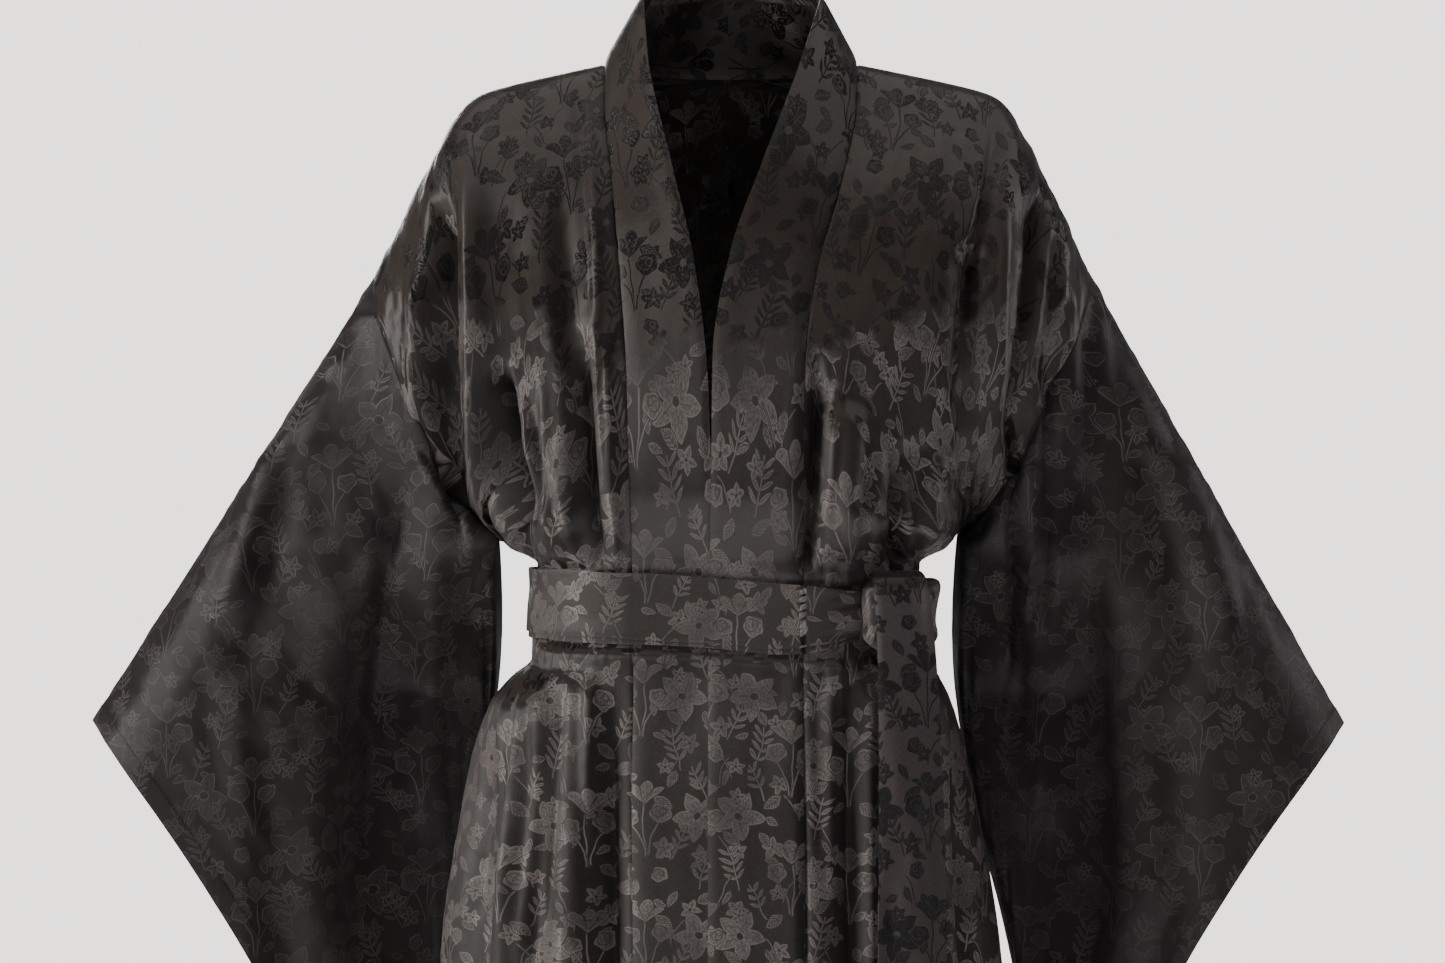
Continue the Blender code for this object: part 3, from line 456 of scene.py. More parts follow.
def smooth_value(table_x, table_y, at, first_slope=None):
    """Read a table along a smooth curve that never overshoots its values."""
    xs = np.asarray(table_x, float)
    ys = np.asarray(table_y, float)
    steps = np.diff(xs)
    rates = np.diff(ys) / steps
    slopes = np.zeros(len(xs))
    for i in range(1, len(xs) - 1):
        if rates[i - 1] * rates[i] > 0:
            before = 2 * steps[i] + steps[i - 1]
            after = steps[i] + 2 * steps[i - 1]
            slopes[i] = (before + after) / (before / rates[i - 1] + after / rates[i])
    slopes[0] = rates[0] if first_slope is None else first_slope
    slopes[-1] = rates[-1]
    at = np.clip(np.asarray(at, float), xs[0], xs[-1])
    k = np.clip(np.searchsorted(xs, at, side="right") - 1, 0, len(xs) - 2)
    f = (at - xs[k]) / steps[k]
    return ((1 + 2 * f) * (1 - f) ** 2 * ys[k] + f * (1 - f) ** 2 * steps[k] * slopes[k]
            + f * f * (3 - 2 * f) * ys[k + 1] + f * f * (f - 1) * steps[k] * slopes[k + 1])


def smooth_step(low, high, at):
    f = np.clip((np.asarray(at, float) - low) / (high - low), 0, 1)
    return f * f * (3 - 2 * f)


def side_name(sign):
    return "left" if sign > 0 else "right"


def unit(vectors, least=1e-9):
    """Each vector at length 1."""
    return vectors / np.maximum(np.linalg.norm(vectors, axis=-1), least)[..., None]


def lengths_along(points):
    """How far along a line each of its points lies."""
    return np.concatenate([[0], np.cumsum(np.linalg.norm(np.diff(points, axis=0), axis=1))])


def place(table, down):
    """A place on a line of the cloth, from a table by how far down the cloth it lies."""
    starts = {"x": 0, "y": None, "z": 0} if table["down"][0] == 0 else {"x": None, "y": None, "z": None}
    return np.array([smooth_value(table["down"], table[axis], down, starts[axis]) for axis in "xyz"])


def side_place(table, sign, down):
    columns = {"x": table[side_name(sign)], "y": table["y"], "z": table["z"], "down": table["down"]}
    return place(columns, down) * (sign, 1, 1)


def armhole(sign, face, part):
    """The armhole seam from the top (0) to the underarm (1), an ellipse bowed outwards."""
    top = np.array(SEAM_TOP[side_name(sign)], float)
    low = np.array(UNDERARM[side_name(sign)], float)
    along = 0.5 - 0.5 * math.cos(math.pi * part)
    reach = math.sin(math.pi * part)
    point = top + (low - top) * along
    outward = sign * np.array([top[2] - low[2], 0, low[0] - top[0]]) / math.dist(top, low)
    point += outward * ARMHOLE_BOW * reach
    point[1] = FACING[face] * ARMHOLE_OUT[face] * reach
    return point


def nape_arc(start, nape, down):
    """A quarter turn from the side of the neck to the middle of the nape."""
    angle = math.pi / 2 * down / NAPE_DOWN
    return np.array([start[0] * math.cos(angle), start[1] + (nape[1] - start[1]) * math.sin(angle),
                     start[2] + (nape[2] - start[2]) * math.sin(angle)])


def inner_end(sign, face, down):
    """Where a line of the cloth starts: at the band's seam, the neckline or the centre back."""
    if face == "front":
        return place(BAND_SEAM[side_name(sign)], down)
    if down >= NAPE_DOWN:
        return place(BACK_CENTRE, down)
    return nape_arc(place(BAND_SEAM[side_name(sign)], 0), NAPE, down)


def outer_end(sign, face, down):
    """Where a line of the cloth ends: at the armhole or the side seam."""
    if down <= ARMHOLE:
        return armhole(sign, face, down / ARMHOLE)
    return side_place(SIDE_SEAM, sign, down)


def conic(start, corner, end, fullness, at):
    """A round turn from start to end that leaves and arrives along the lines to the corner."""
    at = np.asarray(at, float)[:, None]
    weights = ((1 - at) ** 2, 2 * at * (1 - at) * fullness, at ** 2)
    total = weights[0] + weights[1] + weights[2]
    return (weights[0] * start + weights[1] * corner + weights[2] * end) / total


def spread(points, count, edges=()):
    """The same curve with its points evenly apart, closer at both ends, and how far along each lies."""
    run = lengths_along(points)
    if edges:
        last = edges[-1]
        middle = np.linspace(last, run[-1] - last, count + 1)
        wanted = np.concatenate([edges[:-1], middle, run[-1] - np.array(edges[:-1][::-1])])
    else:
        wanted = np.linspace(0, run[-1], count + 1)
    even = np.stack([np.interp(wanted, run, points[:, axis]) for axis in range(3)], axis=1)
    even[0] = points[0]
    even[-1] = points[-1]
    return even, wanted


def body_line(sign, face, down, columns, edges=EDGE_COLUMNS):
    """One row of the cloth, from the front edge or centre back round to the side."""
    table = FRONT_CORNER if face == "front" else BACK_CORNER
    corner = side_place(table, sign, down)
    fullness = smooth_value(table["down"], table["fullness"], down)
    start = inner_end(sign, face, down)
    end = outer_end(sign, face, down)
    return spread(conic(start, corner, end, fullness, np.linspace(0, 1, 257)), columns, edges)


def row_places(face):
    """How far down the cloth each row of points lies. The back has a row at the middle of the nape."""
    downs = [0.0]
    for first, last, count in ROW_STEPS:
        downs.extend(first + (last - first) * (i + 1) / count for i in range(count))
    if face == "back":
        nearest = min(range(len(downs)), key=lambda i: abs(downs[i] - NAPE_DOWN))
        downs[nearest] = float(NAPE_DOWN)
    return downs


def body_grid(sign, face):
    """Points of half a front or back, rows from the shoulder down, columns from the middle out."""
    downs = row_places(face)
    points = []
    flat = []
    seam = []
    for down in downs:
        line, run = body_line(sign, face, down, COLUMNS[face])
        points.append(line)
        flat.append(np.stack([sign * run, np.full(len(run), -down)], axis=1))
        from_inner = run if face == "front" or down < NAPE_DOWN else np.full(len(run), FAR)
        seam.append(np.minimum(from_inner, run[-1] - run))
    hem = LENGTH - np.array(downs)[:, None] + np.zeros((1, len(points[0])))
    return {"grid": np.array(points), "flat": np.array(flat), "seam": np.array(seam), "hem": hem}


def bend(start, middle, end, at):
    """A point on the curve from start to end that is drawn towards the middle one."""
    return (1 - at) ** 2 * start + 2 * at * (1 - at) * middle + at * at * end


def sleeve_flat_place(sign, along, depth):
    """A place of the sleeve as seen from the front, between its four curved sides."""
    side = side_name(sign)
    top, tip, low, corner, underarm = (
        np.array(places[side], float) for places in (SEAM_TOP, CUFF_TOP, CUFF_LOW, SLEEVE_CORNER, UNDERARM))
    inner_bend, lower_bend, cuff_bend = (
        np.array(places[side], float) for places in (SLEEVE_INNER_BEND, SLEEVE_BOTTOM_BEND, CUFF_BEND))
    split = ARMHOLE / SLEEVE_DEPTH
    if depth <= split:
        inner = armhole(sign, "front", depth / split)
    else:
        inner = bend(underarm, inner_bend, corner, (depth - split) / (1 - split))
    upper = top + (tip - top) * along
    lower = bend(corner, lower_bend, low, along)
    cuff = bend(tip, cuff_bend, low, depth)
    return ((1 - depth) * upper + depth * lower + (1 - along) * inner + along * cuff
            - (1 - along) * (1 - depth) * top - along * (1 - depth) * tip
            - (1 - along) * depth * corner - along * depth * low)


def sleeve_ring_end(part):
    """Where a ring meets the sleeve's lower edge: round the corner, evenly along the cloth."""
    under = SLEEVE_DEPTH - ARMHOLE
    run = part * (under + SLEEVE_LENGTH)
    if run < under:
        return 0.0, (ARMHOLE + run) / SLEEVE_DEPTH
    return (run - under) / SLEEVE_LENGTH, 1.0


def sleeve_half_depth(face, part, at):
    """How far the sleeve stands off its middle plane, from the armhole's form to the hanging one."""
    at_armhole = ARMHOLE_OUT[face] * math.sin(math.pi * at)
    hanging = ARM_RADIUS * (1 - 0.2 * part) * smooth_value(SLEEVE_HANG["v"], SLEEVE_HANG["part"], at)
    mix = float(smooth_step(0, 0.35, part))
    return at_armhole * (1 - mix) + hanging * mix


def sleeve_drift(x, z):
    """How far behind the side seam the sleeve hangs."""
    return SLEEVE_DRIFT * smooth_step(*SLEEVE_DRIFT_Z, z) * smooth_step(*SLEEVE_DRIFT_X, np.abs(x))


def sleeve_parts():
    """Where the rings lie from the armhole (0) to the cuff (1), closer at both ends."""
    edge = [step / SLEEVE_LENGTH for step in SLEEVE_EDGE_RINGS]
    hem = [1 - step / SLEEVE_LENGTH for step in (HEM_WIDTH + 1, HEM_WIDTH, HEM_WIDTH - 1, 1.5, 0)]
    return edge[:-1] + list(np.linspace(edge[-1], hem[0] - 0.008, SLEEVE_RINGS)) + hem


def sleeve_grid(sign, face):
    """The front or back of a sleeve: rings from the armhole to the cuff, each from the top line down."""
    points = []
    cloth = []
    places = [down / ARMHOLE for down in row_places(face) if down <= ARMHOLE]
    for part in sleeve_parts():
        end = sleeve_ring_end(part)
        ring = []
        for at in places:
            if part == 0:
                point = armhole(sign, face, at)
            else:
                point = sleeve_flat_place(sign, part + (end[0] - part) * at, end[1] * at)
                half = sleeve_half_depth(face, part, at)
                point[1] = FACING[face] * half + sleeve_drift(point[0], point[2])
            ring.append(point)
        points.append(ring)
        cloth.append([((part + (end[0] - part) * at) * SLEEVE_LENGTH, end[1] * at * SLEEVE_DEPTH)
                      for at in places])
    points = np.array(points)
    # The figure stands upright: seen from the front, a place lies as far from the top line as the cloth goes
    run_seen = np.array([lengths_along(ring[:, ::2]) for ring in points])
    run_true = np.array([lengths_along(ring) for ring in points])
    longer = run_true / np.maximum(run_seen, 1e-6)
    longer[:, 0] = 1
    flat = points[:, :1, ::2] + (points[:, :, ::2] - points[:, :1, ::2]) * longer[:, :, None]
    flat = flat + (SLEEVE_FLAT[face] * sign, 0)
    lower_edge = np.linalg.norm(points - points[:, -1:], axis=2)
    part_run = np.array(sleeve_parts())[:, None] * SLEEVE_LENGTH + np.zeros(lower_edge.shape)
    return {"grid": points, "flat": flat, "cloth": np.array(cloth),
            "seam": np.minimum(part_run, lower_edge), "hem": SLEEVE_LENGTH - part_run}


def band_grid(sign):
    """Half of the neck band: down the front edge from the hem, up to the neck, round to the nape."""
    side = side_name(sign)
    seam = []
    edge = []
    lifts = []
    runs = []
    for down in reversed(row_places("front")):
        seam.append(inner_end(sign, "front", down))
        edge.append(place(BAND_EDGE[side], down))
        lifts.append(float(smooth_value(LAYER["down"], LAYER["lift"], down)))
        runs.append(LENGTH - down)
    top_edge = place(BAND_EDGE[side], 0)
    for down in row_places("back")[1:]:
        if down > NAPE_DOWN:
            break
        seam.append(inner_end(sign, "back", down))
        edge.append(nape_arc(top_edge, BAND_EDGE_NAPE, down))
        lifts.append(0.0)
        runs.append(LENGTH + BAND_ROUND_NAPE * down)
    seam = np.array(seam)[:, None, :]
    edge = np.array(edge)[:, None, :]
    width = np.linalg.norm(edge - seam, axis=2)
    points = seam + (edge - seam) * BAND_MARKS[None, :, None]
    lift = np.array(lifts)[:, None] * smooth_step(0.15, 0.8, BAND_MARKS)[None, :]
    across = width * BAND_MARKS[None, :]
    flat = np.stack([sign * (BAND_FLAT + across), np.array(runs)[:, None] + 0 * across], axis=2)
    crown = BAND_CROWN * smooth_step(0, 9, across) * smooth_step(0, 4.5, width * (1 - BAND_MARKS[None, :]))
    return {"grid": points, "flat": flat, "seam": across, "hem": np.full(across.shape, FAR),
            "lift": lift * sign * LAYER_STEP + crown,
            "weight": np.broadcast_to(1 - 0.8 * BAND_MARKS, across.shape)}


def hash_lattice(i, j, seed):
    """A chance number for each corner of a square grid, always the same."""
    value = np.sin(i * 127.1 + j * 311.7 + seed * 74.7) * 43758.5453
    return value - np.floor(value)


def ripple(u, v, seed):
    """Smooth noise between -1 and 1 with a spacing of 1 in both directions."""
    i = np.floor(u)
    j = np.floor(v)
    f = u - i
    g = v - j
    f = f * f * f * (f * (6 * f - 15) + 10)
    g = g * g * g * (g * (6 * g - 15) + 10)
    corners = [[hash_lattice(i + a, j + b, seed) for b in (0, 1)] for a in (0, 1)]
    low = corners[0][0] * (1 - f) + corners[1][0] * f
    high = corners[0][1] * (1 - f) + corners[1][1] * f
    return 2 * (low * (1 - g) + high * g) - 1


def weld(grids, flips):
    """Put grids of points together as one open sheet."""
    parts = {"points": [], "flat": [], "cloth": [], "seam": [], "hem": [], "lift": [], "weight": []}
    faces = []
    start = 0
    for grid, flip in zip(grids, flips):
        rows, columns = grid["grid"].shape[:2]
        count = rows * columns
        plain = {"lift": np.zeros((rows, columns)), "weight": np.ones((rows, columns)), "cloth": grid["flat"]}
        for name in parts:
            source = grid["grid"] if name == "points" else grid.get(name, plain.get(name))
            parts[name].append(np.asarray(source, float).reshape(count, -1))
        number = start + np.arange(count).reshape(rows, columns)
        quads = np.stack([number[:-1, :-1], number[:-1, 1:], number[1:, 1:], number[1:, :-1]], axis=2)
        quads = quads.reshape(-1, 4)
        faces.append(quads[:, ::-1] if flip else quads)
        start += count
    sheet = {name: np.concatenate(values) for name, values in parts.items()}
    for name in ("seam", "hem", "lift", "weight"):
        sheet[name] = sheet[name][:, 0]
    sheet["faces"] = np.concatenate(faces)
    sheet["shapes"] = [grid["grid"].shape[:2] for grid in grids]
    return sheet


def keys_of(points):
    """One key for each point, the same for points that coincide."""
    return [tuple(row) for row in np.round(points * 50).astype(int).tolist()]


def vertex_normals(points, faces):
    a, b, c, d = (points[faces[:, i]] for i in range(4))
    normal = np.cross(c - a, d - b)
    total = np.zeros_like(points)
    for i in range(4):
        np.add.at(total, faces[:, i], normal)
    return total


def shared_normals(sheets):
    """Normals at every point, the same on each piece that meets there."""
    sums = {}
    for name, sheet in sheets.items():
        group = name.split("_")[0]
        group = "body" if group in ("front", "back") else group
        sheet["own"] = vertex_normals(sheet["points"], sheet["faces"])
        for i, point_key in zip(sheet["rim"], sheet["rim_keys"]):
            shares = sums.setdefault(point_key, {})
            shares[group] = shares.get(group, 0) + sheet["own"][i]
    for sheet in sheets.values():
        sheet["normals"] = unit(sheet["own"])
        for i, point_key in zip(sheet["rim"], sheet["rim_keys"]):
            sheet["normals"][i] = unit(sum(unit(share) for share in sums[point_key].values()))


def rim_edges(faces):
    """The directed edges that only one face has."""
    sides = np.concatenate([faces[:, [i, (i + 1) % 4]] for i in range(4)])
    forward = {tuple(side) for side in sides.tolist()}
    return [side for side in forward if (side[1], side[0]) not in forward]


def find_rims(sheets):
    for sheet in sheets.values():
        edges = rim_edges(sheet["faces"])
        rim = sorted({corner for side in edges for corner in side})
        spots = dict(zip(rim, keys_of(sheet["points"][rim])))
        ways = {(spots[a], spots[b]) for a, b in edges}
        sheet["rim_edges"] = [(a, b) for a, b in edges
                              if spots[a] != spots[b] and (spots[b], spots[a]) not in ways]
        sheet["rim"] = rim
        sheet["rim_keys"] = keys_of(sheet["points"][rim])


def fold_height(points, normals, folds, face, ends=FOLD_ENDS):
    """How far folds raise or sink the cloth. Each has one width, or one for each side of its line."""
    x = points[:, 0]
    z = points[:, 2]
    total = np.zeros(len(points))
    for x0, z0, x1, z1, bow, *widths, height in folds:
        length = math.hypot(x1 - x0, z1 - z0)
        along_x = (x1 - x0) / length
        along_z = (z1 - z0) / length
        run = ((x - x0) * along_x + (z - z0) * along_z) / length
        inside = np.clip(run, 0, 1)
        off = (x - x0) * along_z - (z - z0) * along_x - bow * 4 * inside * (1 - inside)
        shown = smooth_step(*ends[:2], run) * smooth_step(*ends[2:], run)
        total += height * np.exp(-(off / np.where(off > 0, widths[0], widths[-1])) ** 2) * shown
    return total * smooth_step(0.12, 0.5, FACING[face] * normals[:, 1])


def sash_edges(x, shift=BELT_INNER_SHIFT):
    """The heights of the sash's upper and lower edge. The lower one is moved by a shift."""
    return (smooth_value(BELT_TOP["x"], BELT_TOP["z"], x),
            smooth_value(BELT_LOW["x"], BELT_LOW["z"], x) + shift)


def blouse(points, normals):
    """How far the robe bags out over the sash, straight away from the body."""
    x, y, z = points.T
    round_waist = np.arctan2(y, x) * WAIST_RADIUS
    top, low = sash_edges(x)
    side = smooth_step(*SIDE, np.abs(x))
    stand, puff = (table["middle"] + (table["side"] - table["middle"]) * side for table in (BLOUSE, PUFF))
    amount = (stand * smooth_step(*BLOUSE_Z, z) * smooth_step(0, TURN, z - top - 1)
              + puff * smooth_step(0, TURN, low - z) * smooth_step(*PUFF_END_Z, z))
    uneven = 1 + 0.16 * ripple(round_waist / 21, z / 90, 8)
    facing = smooth_step(0.1, 0.75, np.abs(normals[:, 1]))
    near = smooth_step(*BLOUSE_X, np.abs(x))
    return unit(normals * (1, 1, 0), 1e-6) * (amount * uneven * facing * near)[:, None]


def pressed(points):
    """The sash presses the folds flat."""
    z = points[:, 2]
    near = np.abs(points[:, 0]) < PRESSED_X
    top, low = sash_edges(points[:, 0])
    under = smooth_step(TURN, 0, z - top) * smooth_step(-TURN, 0, z - low)
    return np.where(near, 1 - PRESSED * under, 1.0)


def gathers(points):
    """Small pleats that run into the sash from above and below, uneven in spacing and length."""
    x, y, z = points.T
    round_waist = np.arctan2(y, x) * WAIST_RADIUS
    reach_up, reach_down = (reach + much * ripple(round_waist / wide, 0 * x, seed)
                            for reach, much, wide, seed in GATHERS.values())
    top, low = sash_edges(x)
    above = smooth_step(0, 1, 1 - (z - top) / reach_up) * (z > top)
    below = smooth_step(0, 1, 1 - (low - z) / reach_down) * (z < low)
    waves = ripple(round_waist / 5.2, z / 60, 5) + 0.7 * ripple(round_waist / 3.1, z / 50, 6)
    near = (np.abs(x) < 160) & (z > -500) & (z < -280)
    deep = 0.9 + 1.3 * smooth_step(*SIDE, np.abs(x))
    return np.where(near, deep * waves * np.maximum(above, below), 0)


def crinkles(cloth):
    """Soft unevenness of worn satin: long ripples down the cloth and a little crumple."""
    u, v = cloth.T
    long_ones = 0.9 * ripple(u / 15, v / 75, 11) + 0.5 * ripple(u / 8, v / 42, 12)
    small = 0.26 * ripple(u / 5.5, v / 9, 13) + 0.22 * ripple(u / 13, v / 5, 14)
    return long_ones + small


def within_sleeve(points, height):
    """Troughs are never so deep that the sleeve's front and back would meet."""
    middle = sleeve_drift(points[:, 0], points[:, 2])
    room = np.maximum(np.abs(points[:, 1] - middle) - SLEEVE_LEAST, 0.1)
    return np.where(height < 0, room * np.tanh(height / room), height)


def fold_sheets(sheets):
    shared_normals(sheets)
    for name, sheet in sheets.items():
        points = sheet["points"]
        normals = sheet["normals"]
        main, fine = (fold_height(points, normals, folds["front"], "front")
                      + fold_height(points, normals, folds["back"], "back") for folds in (FOLDS, FINE_FOLDS))
        main = main + fold_height(points, normals, PLEATS, "front", PLEAT_ENDS)
        from_seam = smooth_step(1, 16, sheet["seam"])
        calm = smooth_step(0, 60, -points[:, 2])
        small = (fine + crinkles(sheet["cloth"]) * calm) * (0.25 + 0.75 * from_seam)
        height = (main + small) * pressed(points) * sheet["weight"]
        if name.startswith("sleeve"):
            height = height * (1 - (1 - SLEEVE_CALM) * smooth_step(0, 40, sheet["seam"]))
            on_armhole = smooth_step(0, 9, sheet["seam"])
            height = on_armhole * within_sleeve(points, height) + (1 - on_armhole) * height
        else:
            height = height + gathers(points) * from_seam * sheet["weight"]
        groove = -SEAM_GROOVE[0] * np.exp(-(sheet["seam"] / SEAM_GROOVE[1]) ** 2)
        hem = HEM_STEP * smooth_step(HEM_WIDTH + 0.6, HEM_WIDTH - 0.6, sheet["hem"])
        sheet["points"] = points + normals * (height + sheet["lift"] + groove + hem)[:, None]
        if not name.startswith("sleeve"):
            sheet["points"] += blouse(points, normals)
    shared_normals(sheets)


def thicken(sheet, thickness):
    """A closed thin shell round an open sheet: its vertices, faces and flat places."""
    points = sheet["points"]
    half = sheet["normals"] * (thickness / 2)
    count = len(points)
    vertices = np.concatenate([points + half, points - half]) * MM
    outer = sheet["faces"]
    inner = outer[:, ::-1] + count
    edges = sheet.get("rim_edges") or rim_edges(outer)
    rims = np.array([(b, a, a + count, b + count) for a, b in edges])
    flat = np.concatenate([sheet["flat"], sheet["flat"]])
    return vertices, np.concatenate([outer, inner, rims]), flat


def merge_same(vertices, faces, flat):
    """Merge points that coincide, where a sheet has two halves or closes on itself."""
    _, first, index = np.unique(np.round(vertices * 5e4).astype(np.int64), axis=0,
                                return_index=True, return_inverse=True)
    return vertices[first], index.reshape(-1)[faces], flat[faces]


def new_object(name, vertices, faces, flat, material, node_names, slot_name):
    """An object from quads, with its flat places, in metres, as its UV map."""
    points, corners, corner_flat = merge_same(vertices, faces, flat)
    kept_faces = []
    kept_flat = []
    for face, places in zip(corners.tolist(), corner_flat):
        corner_list = []
        place_list = []
        for corner, spot in zip(face, places):
            if corner not in corner_list:
                corner_list.append(corner)
                place_list.append(spot)
        if len(corner_list) > 2:
            kept_faces.append(corner_list)
            kept_flat.extend(place_list)
    mesh = bpy.data.meshes.new(name)
    mesh.from_pydata(points.tolist(), [], kept_faces)
    layer = mesh.uv_layers.new(name="flat")
    layer.data.foreach_set("uv", (np.array(kept_flat) * MM).astype(np.float32).ravel())
    mesh.validate()
    mesh.shade_smooth()
    mesh.set_sharp_from_angle(angle=math.radians(60))
    piece = bpy.data.objects.new(name, mesh)
    mesh.materials.append(material)
    bpy.context.scene.collection.objects.link(piece)
    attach(piece, "root")
    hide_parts(*node_names)
    return piece


def robe_sheets():
    grids = {}
    for sign in (-1, 1):
        side = side_name(sign)
        grids["front_" + side] = weld([body_grid(sign, "front")], [sign > 0])
        grids["sleeve_" + side] = weld([sleeve_grid(sign, "front"), sleeve_grid(sign, "back")],
                                       [sign < 0, sign > 0])
        grids["band_" + side] = weld([band_grid(sign)], [sign > 0])
    grids["back"] = weld([body_grid(-1, "back"), body_grid(1, "back")], [True, False])
    find_rims(grids)
    fold_sheets(grids)
    return grids


def waist_ring(down, count):
    """The cloth's way round the waist at one level, from the front to the wearer's left and on round."""
    lines = []
    for sign, face, step in ((1, "front", 1), (1, "back", -1), (-1, "back", 1), (-1, "front", -1)):
        lines.append(body_line(sign, face, down, 24, ())[0][::step][:-1])
    ring = np.concatenate(lines + [lines[0][:1]])
    ring[:, 2] = ring[:, 2].mean()
    return spread(ring, count)[0][:-1]


def waist_places(count):
    """A function that gives the places and outward normals on the waist for a height at each point."""
    rings = np.array([waist_ring(down, count) for down in BELT_LEVELS])
    levels = -rings[:, 0, 2]

    def at_heights(heights):
        points = np.stack([
            np.array([np.interp(-heights[i], levels, rings[:, i, axis]) for i in range(count)])
            for axis in range(2)] + [heights], axis=1)
        tangents = np.roll(points, -1, axis=0) - np.roll(points, 1, axis=0)
        normals = np.stack([tangents[:, 1], -tangents[:, 0], np.zeros(count)], axis=1)
        return points, normals / np.linalg.norm(normals, axis=1)[:, None]

    return at_heights, rings[2]


def belt_sheet(off, shift, seed):
    """One turn of the sash, with soft long creases and drawn towards the knot."""
    at_heights, middle = waist_places(BELT_SEGMENTS)
    run = lengths_along(middle)
    near_knot = np.exp(-((middle[:, 0] - KNOT_CENTRE[0]) / 40) ** 2) * smooth_step(20, -20, middle[:, 1])
    top, low = sash_edges(middle[:, 0], shift)
    top = top + shift * 0.5 + 0.7 * ripple(run / 33, 0 * run, seed) - BELT_PINCH[0] * near_knot
    low = low + 0.8 * ripple(run / 27, 0 * run, seed + 1) + BELT_PINCH[1] * near_knot
    rows = []
    flats = []
    for part in (0, 0.012, *np.linspace(0.035, 0.965, BELT_ROWS), 0.988, 1):
        heights = top + (low - top) * part
        points, normals = at_heights(heights)
        # Both turns have the same creases, so that they never meet
        level = (BELT_TOP["z"][0] - heights) / BELT_WIDTH
        edge = 0.4 * (smooth_step(-0.05, 0.04, part) * smooth_step(1.05, 0.96, part) - 1)
        soft = 0.55 * ripple(run / 60, level * 3.1, BELT_CREASES)
        calm = smooth_step(0.1, 0.25, level) * smooth_step(1.1, 0.85, level)
        drawn = BELT_DRAWN * near_knot * np.sin(level * 15 + run / 13) * calm
        rows.append(points + normals * (off + edge + soft + drawn)[:, None])
        flats.append(np.stack([run + BELT_FLAT, BELT_WIDTH / 2 - part * BELT_WIDTH + 0 * run], axis=1))
    grid = np.array(rows)
    flat = np.array(flats)
    closing = flat[:, :1] + (run[-1] + BELT_CLOSING, 0)
    grid = np.concatenate([grid, grid[:, :1]], axis=1)
    return plain_sheet(grid, np.concatenate([flat, closing], axis=1), True)


def plain_sheet(grid, flat, flip):
    """One grid as a sheet without seams or hems. Coinciding points share their normals."""
    far = np.full(grid.shape[:2], FAR)
    sheet = weld([{"grid": grid, "flat": flat, "seam": far, "hem": far}], [flip])
    own = vertex_normals(sheet["points"], sheet["faces"])
    places = np.round(sheet["points"] * 50).astype(np.int64)
    index = np.unique(places, axis=0, return_inverse=True)[1].reshape(-1)
    total = np.zeros((index.max() + 1, 3))
    np.add.at(total, index, own)
    sheet["normals"] = unit(total[index])
    return sheet


def knot_frame():
    """The place on the sash under the knot, with its outward direction."""
    at_heights = waist_places(WAIST_POINTS)[0]
    ring, normals = at_heights(np.full(WAIST_POINTS, float(KNOT_CENTRE[1])))
    front = [i for i in range(WAIST_POINTS) if ring[i, 1] < 0]
    nearest = min(front, key=lambda i: abs(ring[i, 0] - KNOT_CENTRE[0]))
    return ring[nearest], normals[nearest], ring, normals


KNOT_SIZE = (56, 25, 53)
KNOT_OFF = 21.5
# How far off the waist the knot's back lies: on the outer turn's cloth, with a little air between
KNOT_SEAT = BELT_OUTER_OFF + 0.8 + 0.9
KNOT_SQUARENESS = 0.72
KNOT_RINGS = 96
KNOT_AROUND = 120
KNOT_LOBES = [
    # direction, width and height of each bulge or pinch round the knot
    (36, 22, 0.26),
    (4, 16, -0.12),
    (-38, 22, 0.08),
    (150, 24, 0.10),
    (178, 18, -0.08),
    (-150, 24, 0.04),
]


def knot_sheet():
    """The knot: a flattened lump, pinched where the sash runs into it and creased towards its middle."""
    centre, outward, ring, normals = knot_frame()
    facing = outward + np.array((0, -1.2, 0))
    facing /= np.linalg.norm(facing)
    side = np.array([-facing[1], facing[0], 0])
    middle = centre + facing * KNOT_OFF
    middle[2] = KNOT_CENTRE[1]
    rows = []
    flats = []
    for i in range(KNOT_RINGS + 1):
        tilt = math.pi * i / KNOT_RINGS
        b = -math.cos(tilt)
        row = []
        flat_row = []
        for j in range(KNOT_AROUND + 1):
            turn = 2 * math.pi * j / KNOT_AROUND
            a = math.sin(tilt) * math.cos(turn)
            c = math.sin(tilt) * math.sin(turn)
            squared = [math.copysign(abs(value) ** KNOT_SQUARENESS, value) for value in (a, b, c)]
            angle = math.degrees(math.atan2(c, a))
            crease = 1
            for lobe, width, much in KNOT_LOBES:
                apart = (angle - lobe + 180) % 360 - 180
                crease += much * math.exp(-(apart / width) ** 2) * (1 - abs(b))
            rays = math.sin(math.radians(angle) * 7 + 2.2 * math.sin(math.radians(angle) * 2))
            crease += 0.012 * rays * math.sin(tilt)
            point = (middle + side * squared[0] * KNOT_SIZE[0] / 2 * crease
                     - facing * squared[1] * KNOT_SIZE[1] / 2 * (1 + 0.10 * rays * math.sin(tilt)))
            point[2] += squared[2] * KNOT_SIZE[2] / 2 * crease
            nearest = np.argmin(np.hypot(ring[:, 0] - point[0], ring[:, 1] - point[1]))
            short = KNOT_SEAT - (point - ring[nearest])[:2] @ normals[nearest][:2]
            point += normals[nearest] * max(short, 0)
            row.append(point)
            flat_row.append((KNOT_FLAT + squared[0] * 40, squared[2] * 34 + 20 * b))
        rows.append(row)
        flats.append(flat_row)
    return plain_sheet(np.array(rows), np.array(flats), False)


